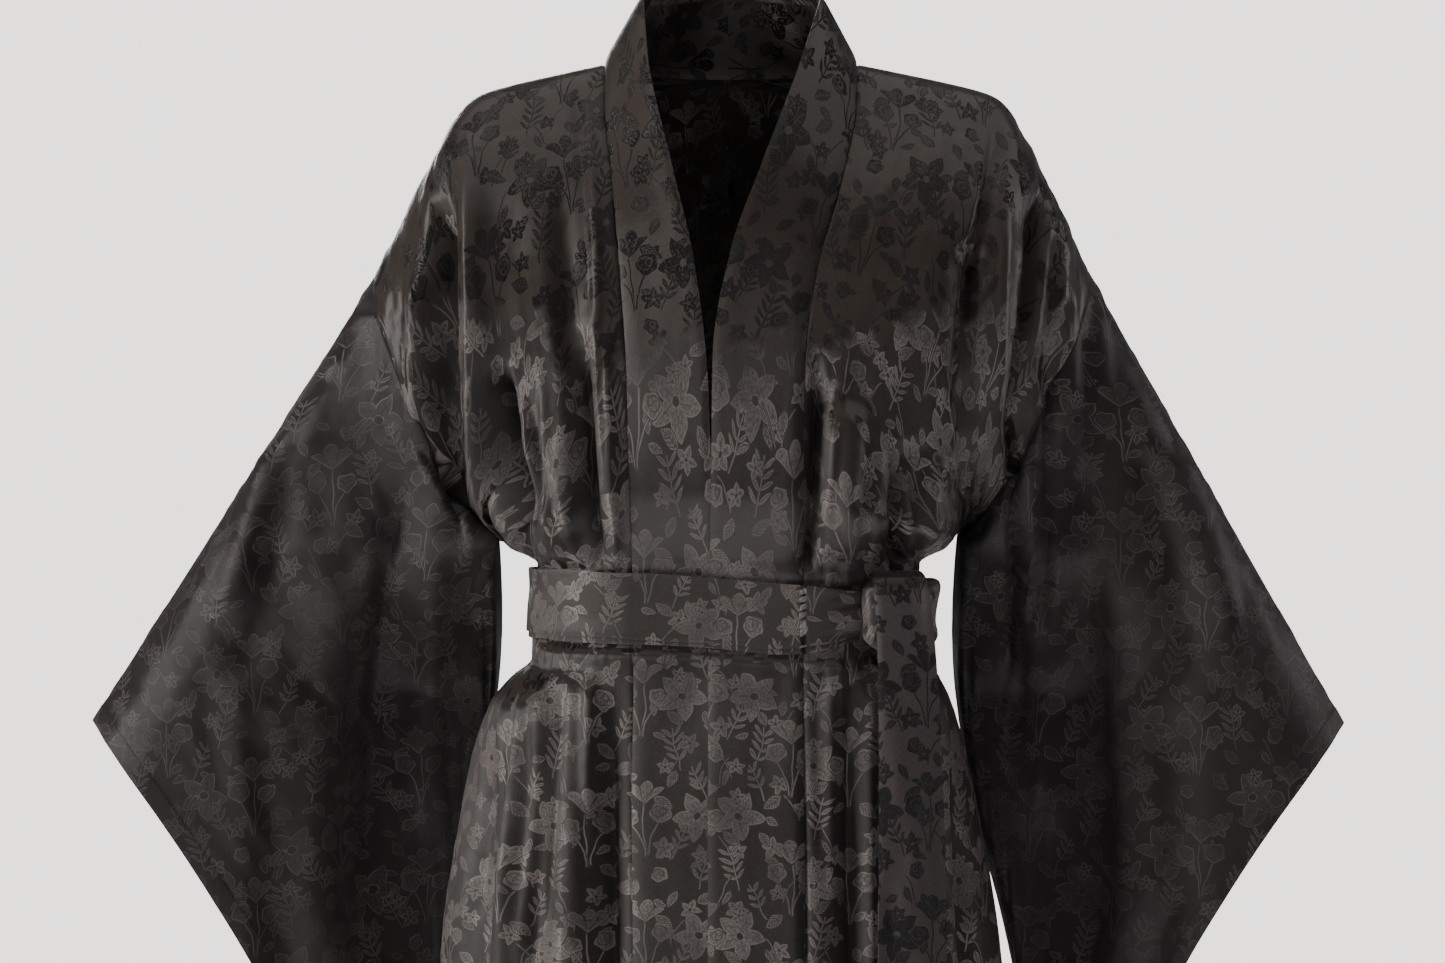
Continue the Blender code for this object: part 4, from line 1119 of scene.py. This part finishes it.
def tail_sheet(table, curl, seed):
    """A hanging end of the sash. Its rows follow a table from the knot down."""
    centre = knot_frame()[0]
    marks = np.arange(len(table["z"]))
    rows = []
    flats = []
    run = 0.0
    last = None
    for at in np.linspace(0, len(marks) - 1, TAIL_ROWS + 1):
        value = {name: float(smooth_value(marks, table[name], at)) for name in table}
        turn = math.radians(value["turn"])
        here = np.array((value["out"], value["z"]))
        run += 0 if last is None else math.dist(here, last)
        last = here
        row = []
        flat_row = []
        for across in np.linspace(-1, 1, TAIL_COLUMNS + 1):
            reach = across * value["width"] / 2
            sway = TAIL_SWAY * math.sin(TAIL_SWAY_ACROSS * across + value["z"] / TAIL_SWAY_DOWN)
            fold = TAIL_FOLD * ripple(across * 2.3 + 0.004 * value["z"], value["z"] / 46, seed)
            rolled = curl * max(abs(across) - 0.86, 0) / 0.14
            row.append((value["x"] + reach * math.cos(turn),
                        centre[1] - value["out"] + reach * math.sin(turn) + sway + fold + rolled,
                        value["z"]))
            flat_row.append((seed * TAIL_FLAT + reach, -run))
        rows.append(row)
        flats.append(flat_row)
    return plain_sheet(np.array(rows, float), np.array(flats), True)


def seat_like(piece, node, lower):
    """Slide a tail in depth and height to where its solid was seated on the knot, or a little lower."""
    low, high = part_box(node)
    points = piece["points"]
    depth = (low[1] + high[1]) / 2 / MM - (points[:, 1].min() + points[:, 1].max()) / 2
    piece["points"] = points + (TAIL_ASIDE, depth, high[2] / MM - lower - points[:, 2].max())


def sewn_lines(sheet, row):
    """The points and normals along one row of each grid of a sheet."""
    lines = []
    start = 0
    for rows, columns in sheet["shapes"]:
        first = start + (rows + row) * columns
        lines.append((sheet["points"][first:first + columns], sheet["normals"][first:first + columns]))
        start += rows * columns
    return lines


def stitches(lines, name, material):
    """A row of short threads that lie along each line of points, on its normals."""
    vertices = []
    faces = []
    for points, normals in lines:
        run = lengths_along(points)
        for start in np.arange(STITCH_SPACING, run[-1] - STITCH_SPACING, STITCH_SPACING):
            ends = [np.array([np.interp(at, run, points[:, axis]) for axis in range(3)])
                    for at in (start, start + STITCH_LENGTH)]
            normal = np.array([np.interp(start, run, normals[:, axis]) for axis in range(3)])
            normal /= np.linalg.norm(normal)
            along = ends[1] - ends[0]
            along /= np.linalg.norm(along)
            side = np.cross(along, normal)
            first = len(vertices)
            for at, size in ((0, 0.35), (0.25, 1), (0.75, 1), (1, 0.35)):
                out = CLOTH / 2 + STITCH_RADIUS * (0.9 * size - 0.5)
                centre = ends[0] + (ends[1] - ends[0]) * at + normal * out
                for turn in range(STITCH_SIDES):
                    angle = 2 * math.pi * turn / STITCH_SIDES
                    vertices.append(centre + STITCH_RADIUS * size * (side * math.cos(angle)
                                                                    + normal * math.sin(angle)))
            for ring in range(first, first + 3 * STITCH_SIDES, STITCH_SIDES):
                for turn in range(STITCH_SIDES):
                    a = ring + turn
                    b = ring + (turn + 1) % STITCH_SIDES
                    faces.append((a, b, b + STITCH_SIDES, a + STITCH_SIDES))
            faces.append(tuple(range(first + STITCH_SIDES - 1, first - 1, -1)))
            faces.append(tuple(range(first + 3 * STITCH_SIDES, first + 4 * STITCH_SIDES)))
    mesh = bpy.data.meshes.new(name)
    mesh.from_pydata((np.array(vertices) * MM).tolist(), [], faces)
    mesh.shade_smooth()
    mesh.materials.append(material)
    piece = bpy.data.objects.new(name, mesh)
    bpy.context.scene.collection.objects.link(piece)
    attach(piece, "root")
    return piece


def give(tree, inputs, values):
    """Link or set inputs, each by its name or number, to a signal, a socket or a plain value."""
    for name, value in values.items():
        value = value.socket if isinstance(value, Signal) else value
        if isinstance(value, bpy.types.NodeSocket):
            tree.links.new(value, inputs[name])
        else:
            inputs[name].default_value = value


def new_node(tree, kind, values=None, **settings):
    """A shader node with its settings and inputs."""
    node = tree.nodes.new("ShaderNode" + kind)
    for name, value in settings.items():
        setattr(node, name, value)
    give(tree, node.inputs, values or {})
    return node


def new_material(name):
    """A material with its node tree and the inputs of its shader."""
    material = bpy.data.materials.new(name)
    material.use_nodes = True
    return material, material.node_tree, material.node_tree.nodes["Principled BSDF"].inputs


class Signal:
    """A number in a shader, so that a formula can be written as one."""

    def __init__(self, tree, socket):
        self.tree = tree
        self.socket = socket

    def through(self, operation, *others):
        node = new_node(self.tree, "Math", dict(enumerate((self, *others))), operation=operation)
        return Signal(self.tree, node.outputs[0])

    def __add__(self, other):
        return self.through("ADD", other)

    def __sub__(self, other):
        return self.through("SUBTRACT", other)

    def __rsub__(self, other):
        return self.through("MULTIPLY_ADD", -1.0, other)

    def __mul__(self, other):
        return self.through("MULTIPLY", other)

    def __truediv__(self, other):
        return self.through("DIVIDE", other)

    def __abs__(self):
        return self.through("ABSOLUTE")

    def most(self, other):
        return self.through("MAXIMUM", other)

    def least(self, other):
        return self.through("MINIMUM", other)

    def sine(self):
        return self.through("SINE")

    def cosine(self):
        return self.through("COSINE")

    def root(self):
        return self.through("SQRT")

    def floor(self):
        return self.through("FLOOR")

    def fraction(self):
        return self.through("FRACT")

    def above(self, edge):
        return self.through("GREATER_THAN", edge)

    # A sum or product may also start with a plain number
    __radd__ = __add__
    __rmul__ = __mul__

    def ramp(self, low, high):
        """0 below low, 1 above high, with a soft step between."""
        node = new_node(self.tree, "MapRange", {0: self, 1: low, 2: high}, interpolation_type="SMOOTHSTEP")
        return Signal(self.tree, node.outputs[0])


def turned(x, y, degrees):
    """The place seen from a motif that is turned by an angle."""
    c = math.cos(math.radians(degrees))
    s = math.sin(math.radians(degrees))
    return x * c + y * s, y * c - x * s


def polar(x, y):
    """The distance and direction of a place."""
    return (x * x + y * y).root(), y.through("ARCTAN2", x)


# Each motif gives how far inside its outline a place lies, and how near it is to a dark line drawn on it
def flower(x, y, radius, petals, broad, lift):
    """An open flower of egg-shaped petals round a small dark centre, each with a short vein."""
    r, angle = polar(x, y)
    sector = 2 * math.pi / petals
    turn = ((angle / sector + lift).fraction() - 0.5) * sector
    along = turn.cosine() * r
    across = abs(turn.sine() * r)
    t = along / (radius * 0.56) - 0.86
    petal = (1 - t * t) * (radius * broad) - across
    inside = petal.least(r - radius * 0.14)
    vein = (0.22 - across).least(radius * 0.62 - along)
    return inside, vein


def fan(x, y, radius, spread):
    """A half-open flower seen from the side: pointed petals that rise from its foot."""
    r, angle = polar(y, x)
    tips = abs((angle * 4.1 + 0.35).cosine())
    inside = ((tips * 0.3 + 0.70) * radius - r).least((spread - abs(angle)) * r)
    creases = (0.05 - tips * 0.25) * r
    heart = 0.2 - abs(r - (0.52 - abs(angle) * 0.18) * radius)
    return inside, creases.most(heart.least(0.5 - abs(angle)))


def rose(x, y, radius):
    """A full round flower: wavy outside, with two curled petals drawn in it."""
    r, angle = polar(x, y)
    inside = ((angle * 5 + 0.8).cosine() * 0.07 + 0.93) * radius - r
    first = 0.3 - abs(polar(x - radius * 0.2, y - radius * 0.12)[0] - radius * 0.56)
    second = 0.3 - abs(polar(x + radius * 0.16, y - radius * 0.22)[0] - radius * 0.3)
    return inside, first.least(x + y * 0.6 + radius * 0.5).most(second)


def leaf(x, y, length, width, degrees):
    """A pointed leaf with a midrib and faint side veins."""
    along, across = turned(x, y, degrees)
    t = along / length
    inside = (1 - t * t) * (t * 0.25 + 1).most(0.5) * width - abs(across)
    rib = 0.2 - abs(across)
    veins = ((along + abs(across) * 1.3) * 2.4).sine() * 0.3 - 0.18
    return inside, rib.most(veins)


def stem(x, y, x0, y0, x1, y1, bow, width=0.55):
    """A thin bowed line from one place to another."""
    length = math.hypot(x1 - x0, y1 - y0)
    degrees = math.degrees(math.atan2(y1 - y0, x1 - x0))
    along, across = turned(x - x0, y - y0, degrees)
    t = along / length
    inside = (width - abs(across - (1 - t) * t * (4 * bow))).least((1 - abs(t * 2 - 1)) * 4)
    return inside, inside * 0 - 1


def sprig(x, y, leaves, spacing, reach, width, slope):
    """A stalk with paired slender leaves that point upwards."""
    side = abs(x)
    row = y - side * slope
    t = side / reach
    centred = ((row / spacing).fraction() - 0.5) * spacing
    blades = (1 - t) * t * (4 * width) - abs(centred)
    blades = blades.least(row).least(leaves * spacing - row)
    stalk = (0.5 - side).least(y + 9).least(leaves * spacing + 3 - y)
    return blades.most(stalk), 0.1 - abs(centred)


def over(*motifs):
    """Motifs laid on each other with a thin dark gap round the ones on top."""
    inside, lines = motifs[0]
    for other_inside, other_lines in motifs[1:]:
        apart = other_inside.least(-0.45 - inside)
        lines = lines.least(inside).most(other_lines.least(apart))
        inside = inside.most(apart)
    return inside, lines


def cell(u, v, width, height, shift):
    """The place inside a half-drop repeat, every other one mirrored at random."""
    column = ((u + shift[0]) / width).floor()
    drop = (column * 0.5).fraction() * height
    y_full = (v + drop + shift[1]) / height
    row = y_full.floor()
    x = (((u + shift[0]) / width).fraction() - 0.5) * width
    y = (y_full.fraction() - 0.5) * height
    chance = ((column * 12.9898 + row * 78.233).sine() * 43758.5).fraction()
    mirror = chance.above(0.5) * 2 - 1
    return x * mirror, y


def bouquets(u, v):
    x, y = cell(u, v, 64, 86, (0, 0))
    return over(
        fan(x + 1, y + 3, 18, 0.86),
        rose(x + 12, y + 9, 7.8),
        rose(x - 9, y + 12, 6.8),
        leaf(x - 17, y - 16, 6.5, 2.4, 62),
        leaf(x + 20, y - 15, 7, 3.2, 118),
        leaf(x - 21, y + 27, 7.5, 3.8, -35),
        stem(x, y, -11, -16, -3, -40, 2.0),
        stem(x, y, 8, -18, -1, -41, -2.4),
        stem(x, y, 0, -3, -2, -41, 0.8),
        sprig(*turned(x + 22, y + 37, 24), 3, 6.0, 7.0, 1.7, 0.9),
        flower(x - 25, y - 3, 6.4, 5, 0.31, 0.4),
        stem(x, y, 12, 12, 20, 30, 1.4, 0.4),
    )


def open_flowers(u, v):
    x, y = cell(u, v, 64, 86, (32, 21.5))
    return over(
        flower(x + 6, y - 10, 18.0, 5, 0.30, 0.6),
        flower(x - 18, y + 13, 8.2, 5, 0.31, 0.2),
        leaf(x - 18, y - 20, 8, 4.2, 38),
        leaf(x + 26, y - 1, 6, 3.2, 100),
        sprig(*turned(x + 7, y + 39, 14), 4, 6.0, 8.0, 1.8, 0.9),
        rose(x - 21, y + 32, 5.8),
        leaf(x + 24, y - 30, 6, 2.8, 30),
    )


def blossoms(u, v):
    x, y = cell(u, v, 46, 60, (11, 47))
    return over(
        flower(x + 8, y - 9, 7.6, 5, 0.32, 0.9),
        flower(x - 9, y + 8, 6.4, 5, 0.32, 0.3),
        stem(x, y, -4, 2, 6, -16, 1.5, 0.4),
        leaf(x - 13, y - 14, 5.5, 2.4, 20),
        leaf(x + 13, y + 18, 6.0, 2.7, 150),
    )


# How far a motif's outline wanders from its drawn shape
WANDER = 3.4


def figure_group():
    """The woven figure as a node group: how much a place belongs to a motif, its lines and its outline."""
    tree = bpy.data.node_groups.new("woven_figure", "ShaderNodeTree")
    tree.interface.new_socket("Flat", in_out="INPUT", socket_type="NodeSocketVector")
    for name in ("Figure", "Lines", "Outline"):
        tree.interface.new_socket(name, in_out="OUTPUT", socket_type="NodeSocketFloat")
    flat = tree.nodes.new("NodeGroupInput").outputs[0]
    split = new_node(tree, "SeparateXYZ", {0: flat})
    # Uneven like hand drawing: a place is read a little away from where it lies
    u, v = (Signal(tree, split.outputs[axis]) * 1000 + (noise(tree, flat, scale, (1, 1), 0.0) - 0.5) * WANDER
            for axis, scale in enumerate((76, 91)))
    inside, lines = over(bouquets(u, v), open_flowers(u, v), blossoms(u, v))
    give(tree, tree.nodes.new("NodeGroupOutput").inputs, {
        "Figure": inside.ramp(-0.25, 0.2),
        "Lines": lines.ramp(-0.12, 0.12),
        "Outline": (0.5 - abs(inside - 0.55)).ramp(0, 0.4),
    })
    return tree


def noise(tree, coordinates, scale, stretch, detail=3.0, roughness=0.55):
    """Noise from 0 to 1, with so many waves a metre, stretched across and along."""
    mapping = new_node(tree, "Mapping", {
        "Vector": coordinates, "Scale": (scale * stretch[0], scale * stretch[1], scale)})
    node = new_node(tree, "TexNoise", {
        "Vector": mapping.outputs[0], "Scale": 1.0, "Detail": detail, "Roughness": roughness})
    return Signal(tree, node.outputs["Fac"])


def mixed(tree, factor, low, high):
    """A colour between two, each given as numbers or as a socket."""
    node = new_node(tree, "Mix", {"Factor": factor}, data_type="RGBA")
    slots = [slot for slot in node.inputs if slot.type == "RGBA"]
    give(tree, slots, {i: (*colour, 1) if isinstance(colour, tuple) else colour
                       for i, colour in enumerate((low, high))})
    return next(slot for slot in node.outputs if slot.type == "RGBA")


def bump(tree, height, strength, distance, **before):
    """A shading normal from a height, laid on the one before it."""
    values = {"Height": height, "Strength": strength, "Distance": distance, **before}
    return new_node(tree, "Bump", values).outputs["Normal"]


# Noise in the satin and the thread: waves a metre, stretch across and along, detail and roughness
SPECKLE = (620, (1, 0.8), 3.0)
MOTTLE = (60, (1, 0.6), 3.0)
FADED = (33, (1, 0.8), 2.0)
GRAIN = (950, (1, 0.4), 2.0)
THREADS = (1500, (1, 0.12), 2.0)
CRUMPLE = (75, (1, 0.45), 4.0, 0.6)
TWIST = (2600, (1, 1), 2.0)

# Strength and depth in metres of each bump
THREADS_BUMP = (0.35, 0.0001)
CRUMPLE_BUMP = (0.4, 0.0012)
TWIST_BUMP = (0.4, 0.0001)

# How filled a motif is at least, by its speckle and along its outline
FILLED = (0.30, 0.46, 0.7)
# The sleeves' figure is filled less: painted fainter, for the dimmer sheen on the sleeves
SLEEVE_FILLED = (0.14, 0.2, 0.8)

# The satin's ground shows its upright threads and the figure the level ones, so they shine in turn:
# the figure where the cloth hangs, the ground where it lies over the shoulders. The base colours paint
# this sheen over the pattern's two tones: each piece has its own painted tones, and where the cloth
# faces up, high on the robe, it is painted with a lighter ground and a dark figure.
HANGING = {
    "robe_satin": {"ground": (0.0235, 0.0193, 0.0173), "figure": (0.195, 0.172, 0.160)},
    # Painted shade: the sleeves' copy of the satin, with a darker figure for their dimmer sheen
    "sleeve_satin": {"ground": (0.0222, 0.0185, 0.0177), "figure": (0.095, 0.086, 0.086)},
    # Painted light: the sash's copy of the satin, its ground lighter for the brighter light on the sash
    "sash_satin": {"ground": (0.0330, 0.0273, 0.0245), "figure": (0.200, 0.177, 0.164)},
    # Painted sheen: the tails' copy of the satin, a light ground with a near-black figure
    "tail_satin": {"ground": (0.0720, 0.0600, 0.0560), "figure": (0.0035, 0.0026, 0.0026)},
}
# Painted sheen: the tones of cloth that faces up high on the robe, and the facing and height where they start
PAINTED_SHEEN_LYING = {"ground": (0.0400, 0.0296, 0.0230), "figure": (0.0025, 0.0012, 0.0007)}
PAINTED_SHEEN_FACING = (0.0, 0.14)
PAINTED_SHEEN_ABOVE = -0.19
GROUND_ROUGHNESS = 0.44
FIGURE_ROUGHNESS = 0.56
ANISOTROPY = 0.93


def satin(name, figure_tree):
    """Figured satin: the motifs turn their threads across those of the ground, and the base colour paints
    their sheen, by piece and by which way the cloth faces.
    """
    material, tree, shader = new_material(name)
    flat = new_node(tree, "UVMap", uv_map="flat").outputs[0]
    woven = new_node(tree, "Group", {"Flat": flat}, node_tree=figure_tree)
    figure, lines, outline = (Signal(tree, woven.outputs[i]) for i in range(3))
    normal = new_node(tree, "NewGeometry").outputs["Normal"]
    spot = new_node(tree, "TexCoord").outputs["Object"]
    upwards, height = (Signal(tree, new_node(tree, "SeparateXYZ", {0: vector}).outputs["Z"])
                       for vector in (normal, spot))
    # Painted sheen: where the cloth faces up, high on the robe, its colours turn to a lighter ground and a
    # dark figure
    painted_sheen_lying = (upwards + (height - PAINTED_SHEEN_ABOVE) * 2).ramp(*PAINTED_SHEEN_FACING)
    speckle = noise(tree, flat, *SPECKLE).ramp(0.34, 0.64)
    faded = noise(tree, flat, *FADED).ramp(0.36, 0.62) * 0.5 + 0.5
    grain = noise(tree, flat, *GRAIN).ramp(0.3, 0.7)
    on_sleeve = name == "sleeve_satin"
    least, speckled, edged = SLEEVE_FILLED if on_sleeve else FILLED
    filled = least + (speckle * speckled).most(outline * edged)
    shown = figure * (1 - lines * 0.8) * filled * faded + grain * 0.07
    # The mix for a dark figure on a light ground, used for painted sheen on the tails and on cloth that faces
    # up
    dark = figure * (0.92 - lines * 0.5) * (0.8 + speckle * 0.2) + grain * 0.3
    colour = mixed(tree, dark if name == "tail_satin" else shown,
                   HANGING[name]["ground"], HANGING[name]["figure"])
    if not on_sleeve:
        colour = mixed(tree, painted_sheen_lying, colour, mixed(tree, dark, PAINTED_SHEEN_LYING["ground"], PAINTED_SHEEN_LYING["figure"]))
    rough = GROUND_ROUGHNESS + shown * (FIGURE_ROUGHNESS - GROUND_ROUGHNESS)
    crumpled = bump(tree, noise(tree, flat, *CRUMPLE), *CRUMPLE_BUMP)
    give(tree, shader, {
        "Base Color": colour,
        "Roughness": rough + (noise(tree, flat, *MOTTLE) - 0.5) * 0.12,
        "Anisotropic": ANISOTROPY,
        "Anisotropic Rotation": shown.ramp(0.25, 0.6) * 0.25,
        "Tangent": new_node(tree, "Tangent", direction_type="UV_MAP", uv_map="flat").outputs[0],
        "Specular IOR Level": 0.32 if on_sleeve else 0.5,
        "Sheen Weight": 0.03,
        "Sheen Roughness": 0.4,
        "Normal": bump(tree, noise(tree, flat, *THREADS), *THREADS_BUMP, Normal=crumpled),
    })
    return material


def thread_material():
    """Twisted black thread."""
    material, tree, shader = new_material("black_thread")
    twist = noise(tree, new_node(tree, "TexCoord").outputs["Object"], *TWIST)
    give(tree, shader, {
        "Base Color": mixed(tree, twist, (0.008, 0.008, 0.009), (0.030, 0.028, 0.030)),
        "Roughness": 0.5,
        "Normal": bump(tree, twist, *TWIST_BUMP),
    })
    return material


def camera():
    """Straight on, at the height of the waist, framed as the photograph is."""
    data = bpy.data.cameras.new("camera")
    eye = bpy.data.objects.new("camera", data)
    bpy.context.scene.collection.objects.link(eye)
    data.sensor_fit = "HORIZONTAL"
    data.angle = 2 * math.atan(VIEW_WIDTH / 2 / VIEW_DISTANCE)
    eye.location = (VIEW_CENTRE[0], -VIEW_DISTANCE, VIEW_CENTRE[1])
    eye.rotation_euler = (math.pi / 2, 0, 0)
    bpy.context.scene.camera = eye


# The view: how far the camera is, how wide it sees at the origin's depth, and its middle
VIEW_DISTANCE = 3.2
VIEW_WIDTH = 1.0404
VIEW_CENTRE = (-0.004, -0.2927)

LIGHTS = [
    # name, place, looks at, width, depth, brightness, colour of each panel
    ("ceiling", (0.0, -0.15, 1.75), (0, -0.15, -1), 3.4, 2.6, 0.95, (1.0, 0.955, 0.91)),
    ("floor_front", (0.0, -1.35, -1.36), (0, -1.35, 0), 2.2, 1.6, 0.8, (1.0, 0.98, 0.96)),
    ("floor_behind", (0.0, 1.35, -1.36), (0, 1.35, 0), 2.4, 1.5, 1.2, (1.0, 0.98, 0.96)),
    ("floor_right", (-1.55, 0.0, -1.36), (-1.55, 0, 0), 1.5, 1.2, 0.8, (1.0, 0.98, 0.96)),
    ("floor_left", (1.55, 0.0, -1.36), (1.55, 0, 0), 1.5, 1.2, 0.8, (1.0, 0.98, 0.96)),
    ("window", (-2.85, -1.1, 0.35), (0, 0, -0.35), 1.2, 1.4, 11.5, (1.0, 0.965, 0.93)),
    ("low_window", (-2.2, -1.1, -0.95), (-0.1, 0, -0.75), 0.9, 0.8, 6.3, (1.0, 0.965, 0.95)),
    ("front", (0.6, -3.1, 0.8), (0, 0, -0.3), 1.6, 1.0, 0.7, (1.0, 0.975, 0.95)),
    ("behind", (-0.6, 3.1, 0.8), (0, 0, -0.3), 1.6, 1.2, 4.0, (1.0, 0.975, 0.95)),
    ("side", (2.9, 0.5, 0.3), (0, 0, -0.4), 1.2, 1.4, 3.6, (1.0, 0.975, 0.96)),
]


def lights():
    """Soft panels. The brightness is what a panel sends out, whatever its size."""
    for name, spot, target, width, depth, brightness, colour in LIGHTS:
        data = bpy.data.lights.new(name, "AREA")
        data.shape = "RECTANGLE"
        data.size = width
        data.size_y = depth
        data.energy = brightness * math.pi * width * depth
        data.color = colour
        lamp = bpy.data.objects.new(name, data)
        bpy.context.scene.collection.objects.link(lamp)
        lamp.location = spot
        way = np.array(target) - np.array(spot)
        lamp.rotation_euler = (math.atan2(math.hypot(way[0], way[1]), -way[2]), 0,
                               math.atan2(-way[0], way[1]))
        lamp.visible_camera = False


def surroundings():
    """A pale grey-white room that lights the cloth softly, and a pale floor."""
    world = bpy.data.worlds.new("room")
    bpy.context.scene.world = world
    world.use_nodes = True
    tree = world.node_tree
    shown = tree.nodes["Background"]
    give(tree, shown.inputs, {"Color": (0.84, 0.805, 0.785, 1), "Strength": 2.9})
    lighting = new_node(tree, "Background", {"Color": (0.80, 0.82, 0.88, 1), "Strength": 0.15})
    choice = new_node(tree, "MixShader", {
        0: new_node(tree, "LightPath").outputs["Is Camera Ray"], 1: lighting.outputs[0], 2: shown.outputs[0]})
    give(tree, tree.nodes["World Output"].inputs, {0: choice.outputs[0]})
    bpy.ops.mesh.primitive_plane_add(size=9, location=(0, 0, FLOOR))
    floor = bpy.context.object
    floor.name = "floor"
    material, tree, shader = new_material("pale_floor")
    give(tree, shader, {
        "Base Color": (0.75, 0.75, 0.77, 1),
        "Roughness": 0.8,
        "Emission Color": (0.84, 0.82, 0.81, 1),
        "Emission Strength": new_node(tree, "LightPath").outputs["Is Camera Ray"],
    })
    floor.data.materials.append(material)


FLOOR = -1.42

camera()
lights()
surroundings()

figure_tree = figure_group()
robe_satin, sleeve_satin, sash_satin, tail_satin = (satin(name, figure_tree) for name in HANGING)
thread = thread_material()

sheets = robe_sheets()
nodes_of = {"front_left": "front_panel_left", "front_right": "front_panel_right", "back": "back_panel",
            "sleeve_left": "sleeve_left", "sleeve_right": "sleeve_right",
            "band_left": "neck_band_left", "band_right": "neck_band_right"}
for name, sheet in sheets.items():
    shell = thicken(sheet, BAND_CLOTH if name.startswith("band") else CLOTH)
    material = sleeve_satin if name.startswith("sleeve") else robe_satin
    new_object(name + "_cloth", *shell, material, [nodes_of[name]], "robe_satin")

for name, *form in (("inner", BELT_INNER_OFF, BELT_INNER_SHIFT, 31), ("outer", BELT_OUTER_OFF, 0, 37)):
    new_object("sash_" + name, *thicken(belt_sheet(*form), SASH_CLOTH), sash_satin,
                                        ["belt_wrap_" + name], "sash_satin")
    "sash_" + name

knot = knot_sheet()
new_object("sash_knot", knot["points"] * MM, knot["faces"], knot["flat"],
                            sash_satin, ["belt_knot"], "sash_satin")

for name, table, curl, seed, lower in (("front", TAIL_FRONT, 1.2, 41, 7.5), ("back", TAIL_BACK, 1.0, 47, 0)):
    tail = tail_sheet(table, curl, seed)
    seat_like(tail, "belt_tail_" + name, lower)
    new_object("sash_tail_" + name, *thicken(tail, SASH_CLOTH), tail_satin,
                                        ["belt_tail_" + name], "sash_satin")
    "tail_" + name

sewn = {name: stitches(sewn_lines(sheets[name], row), name + "_stitches", thread)
        for name, row in SEWN_ROWS.items()}
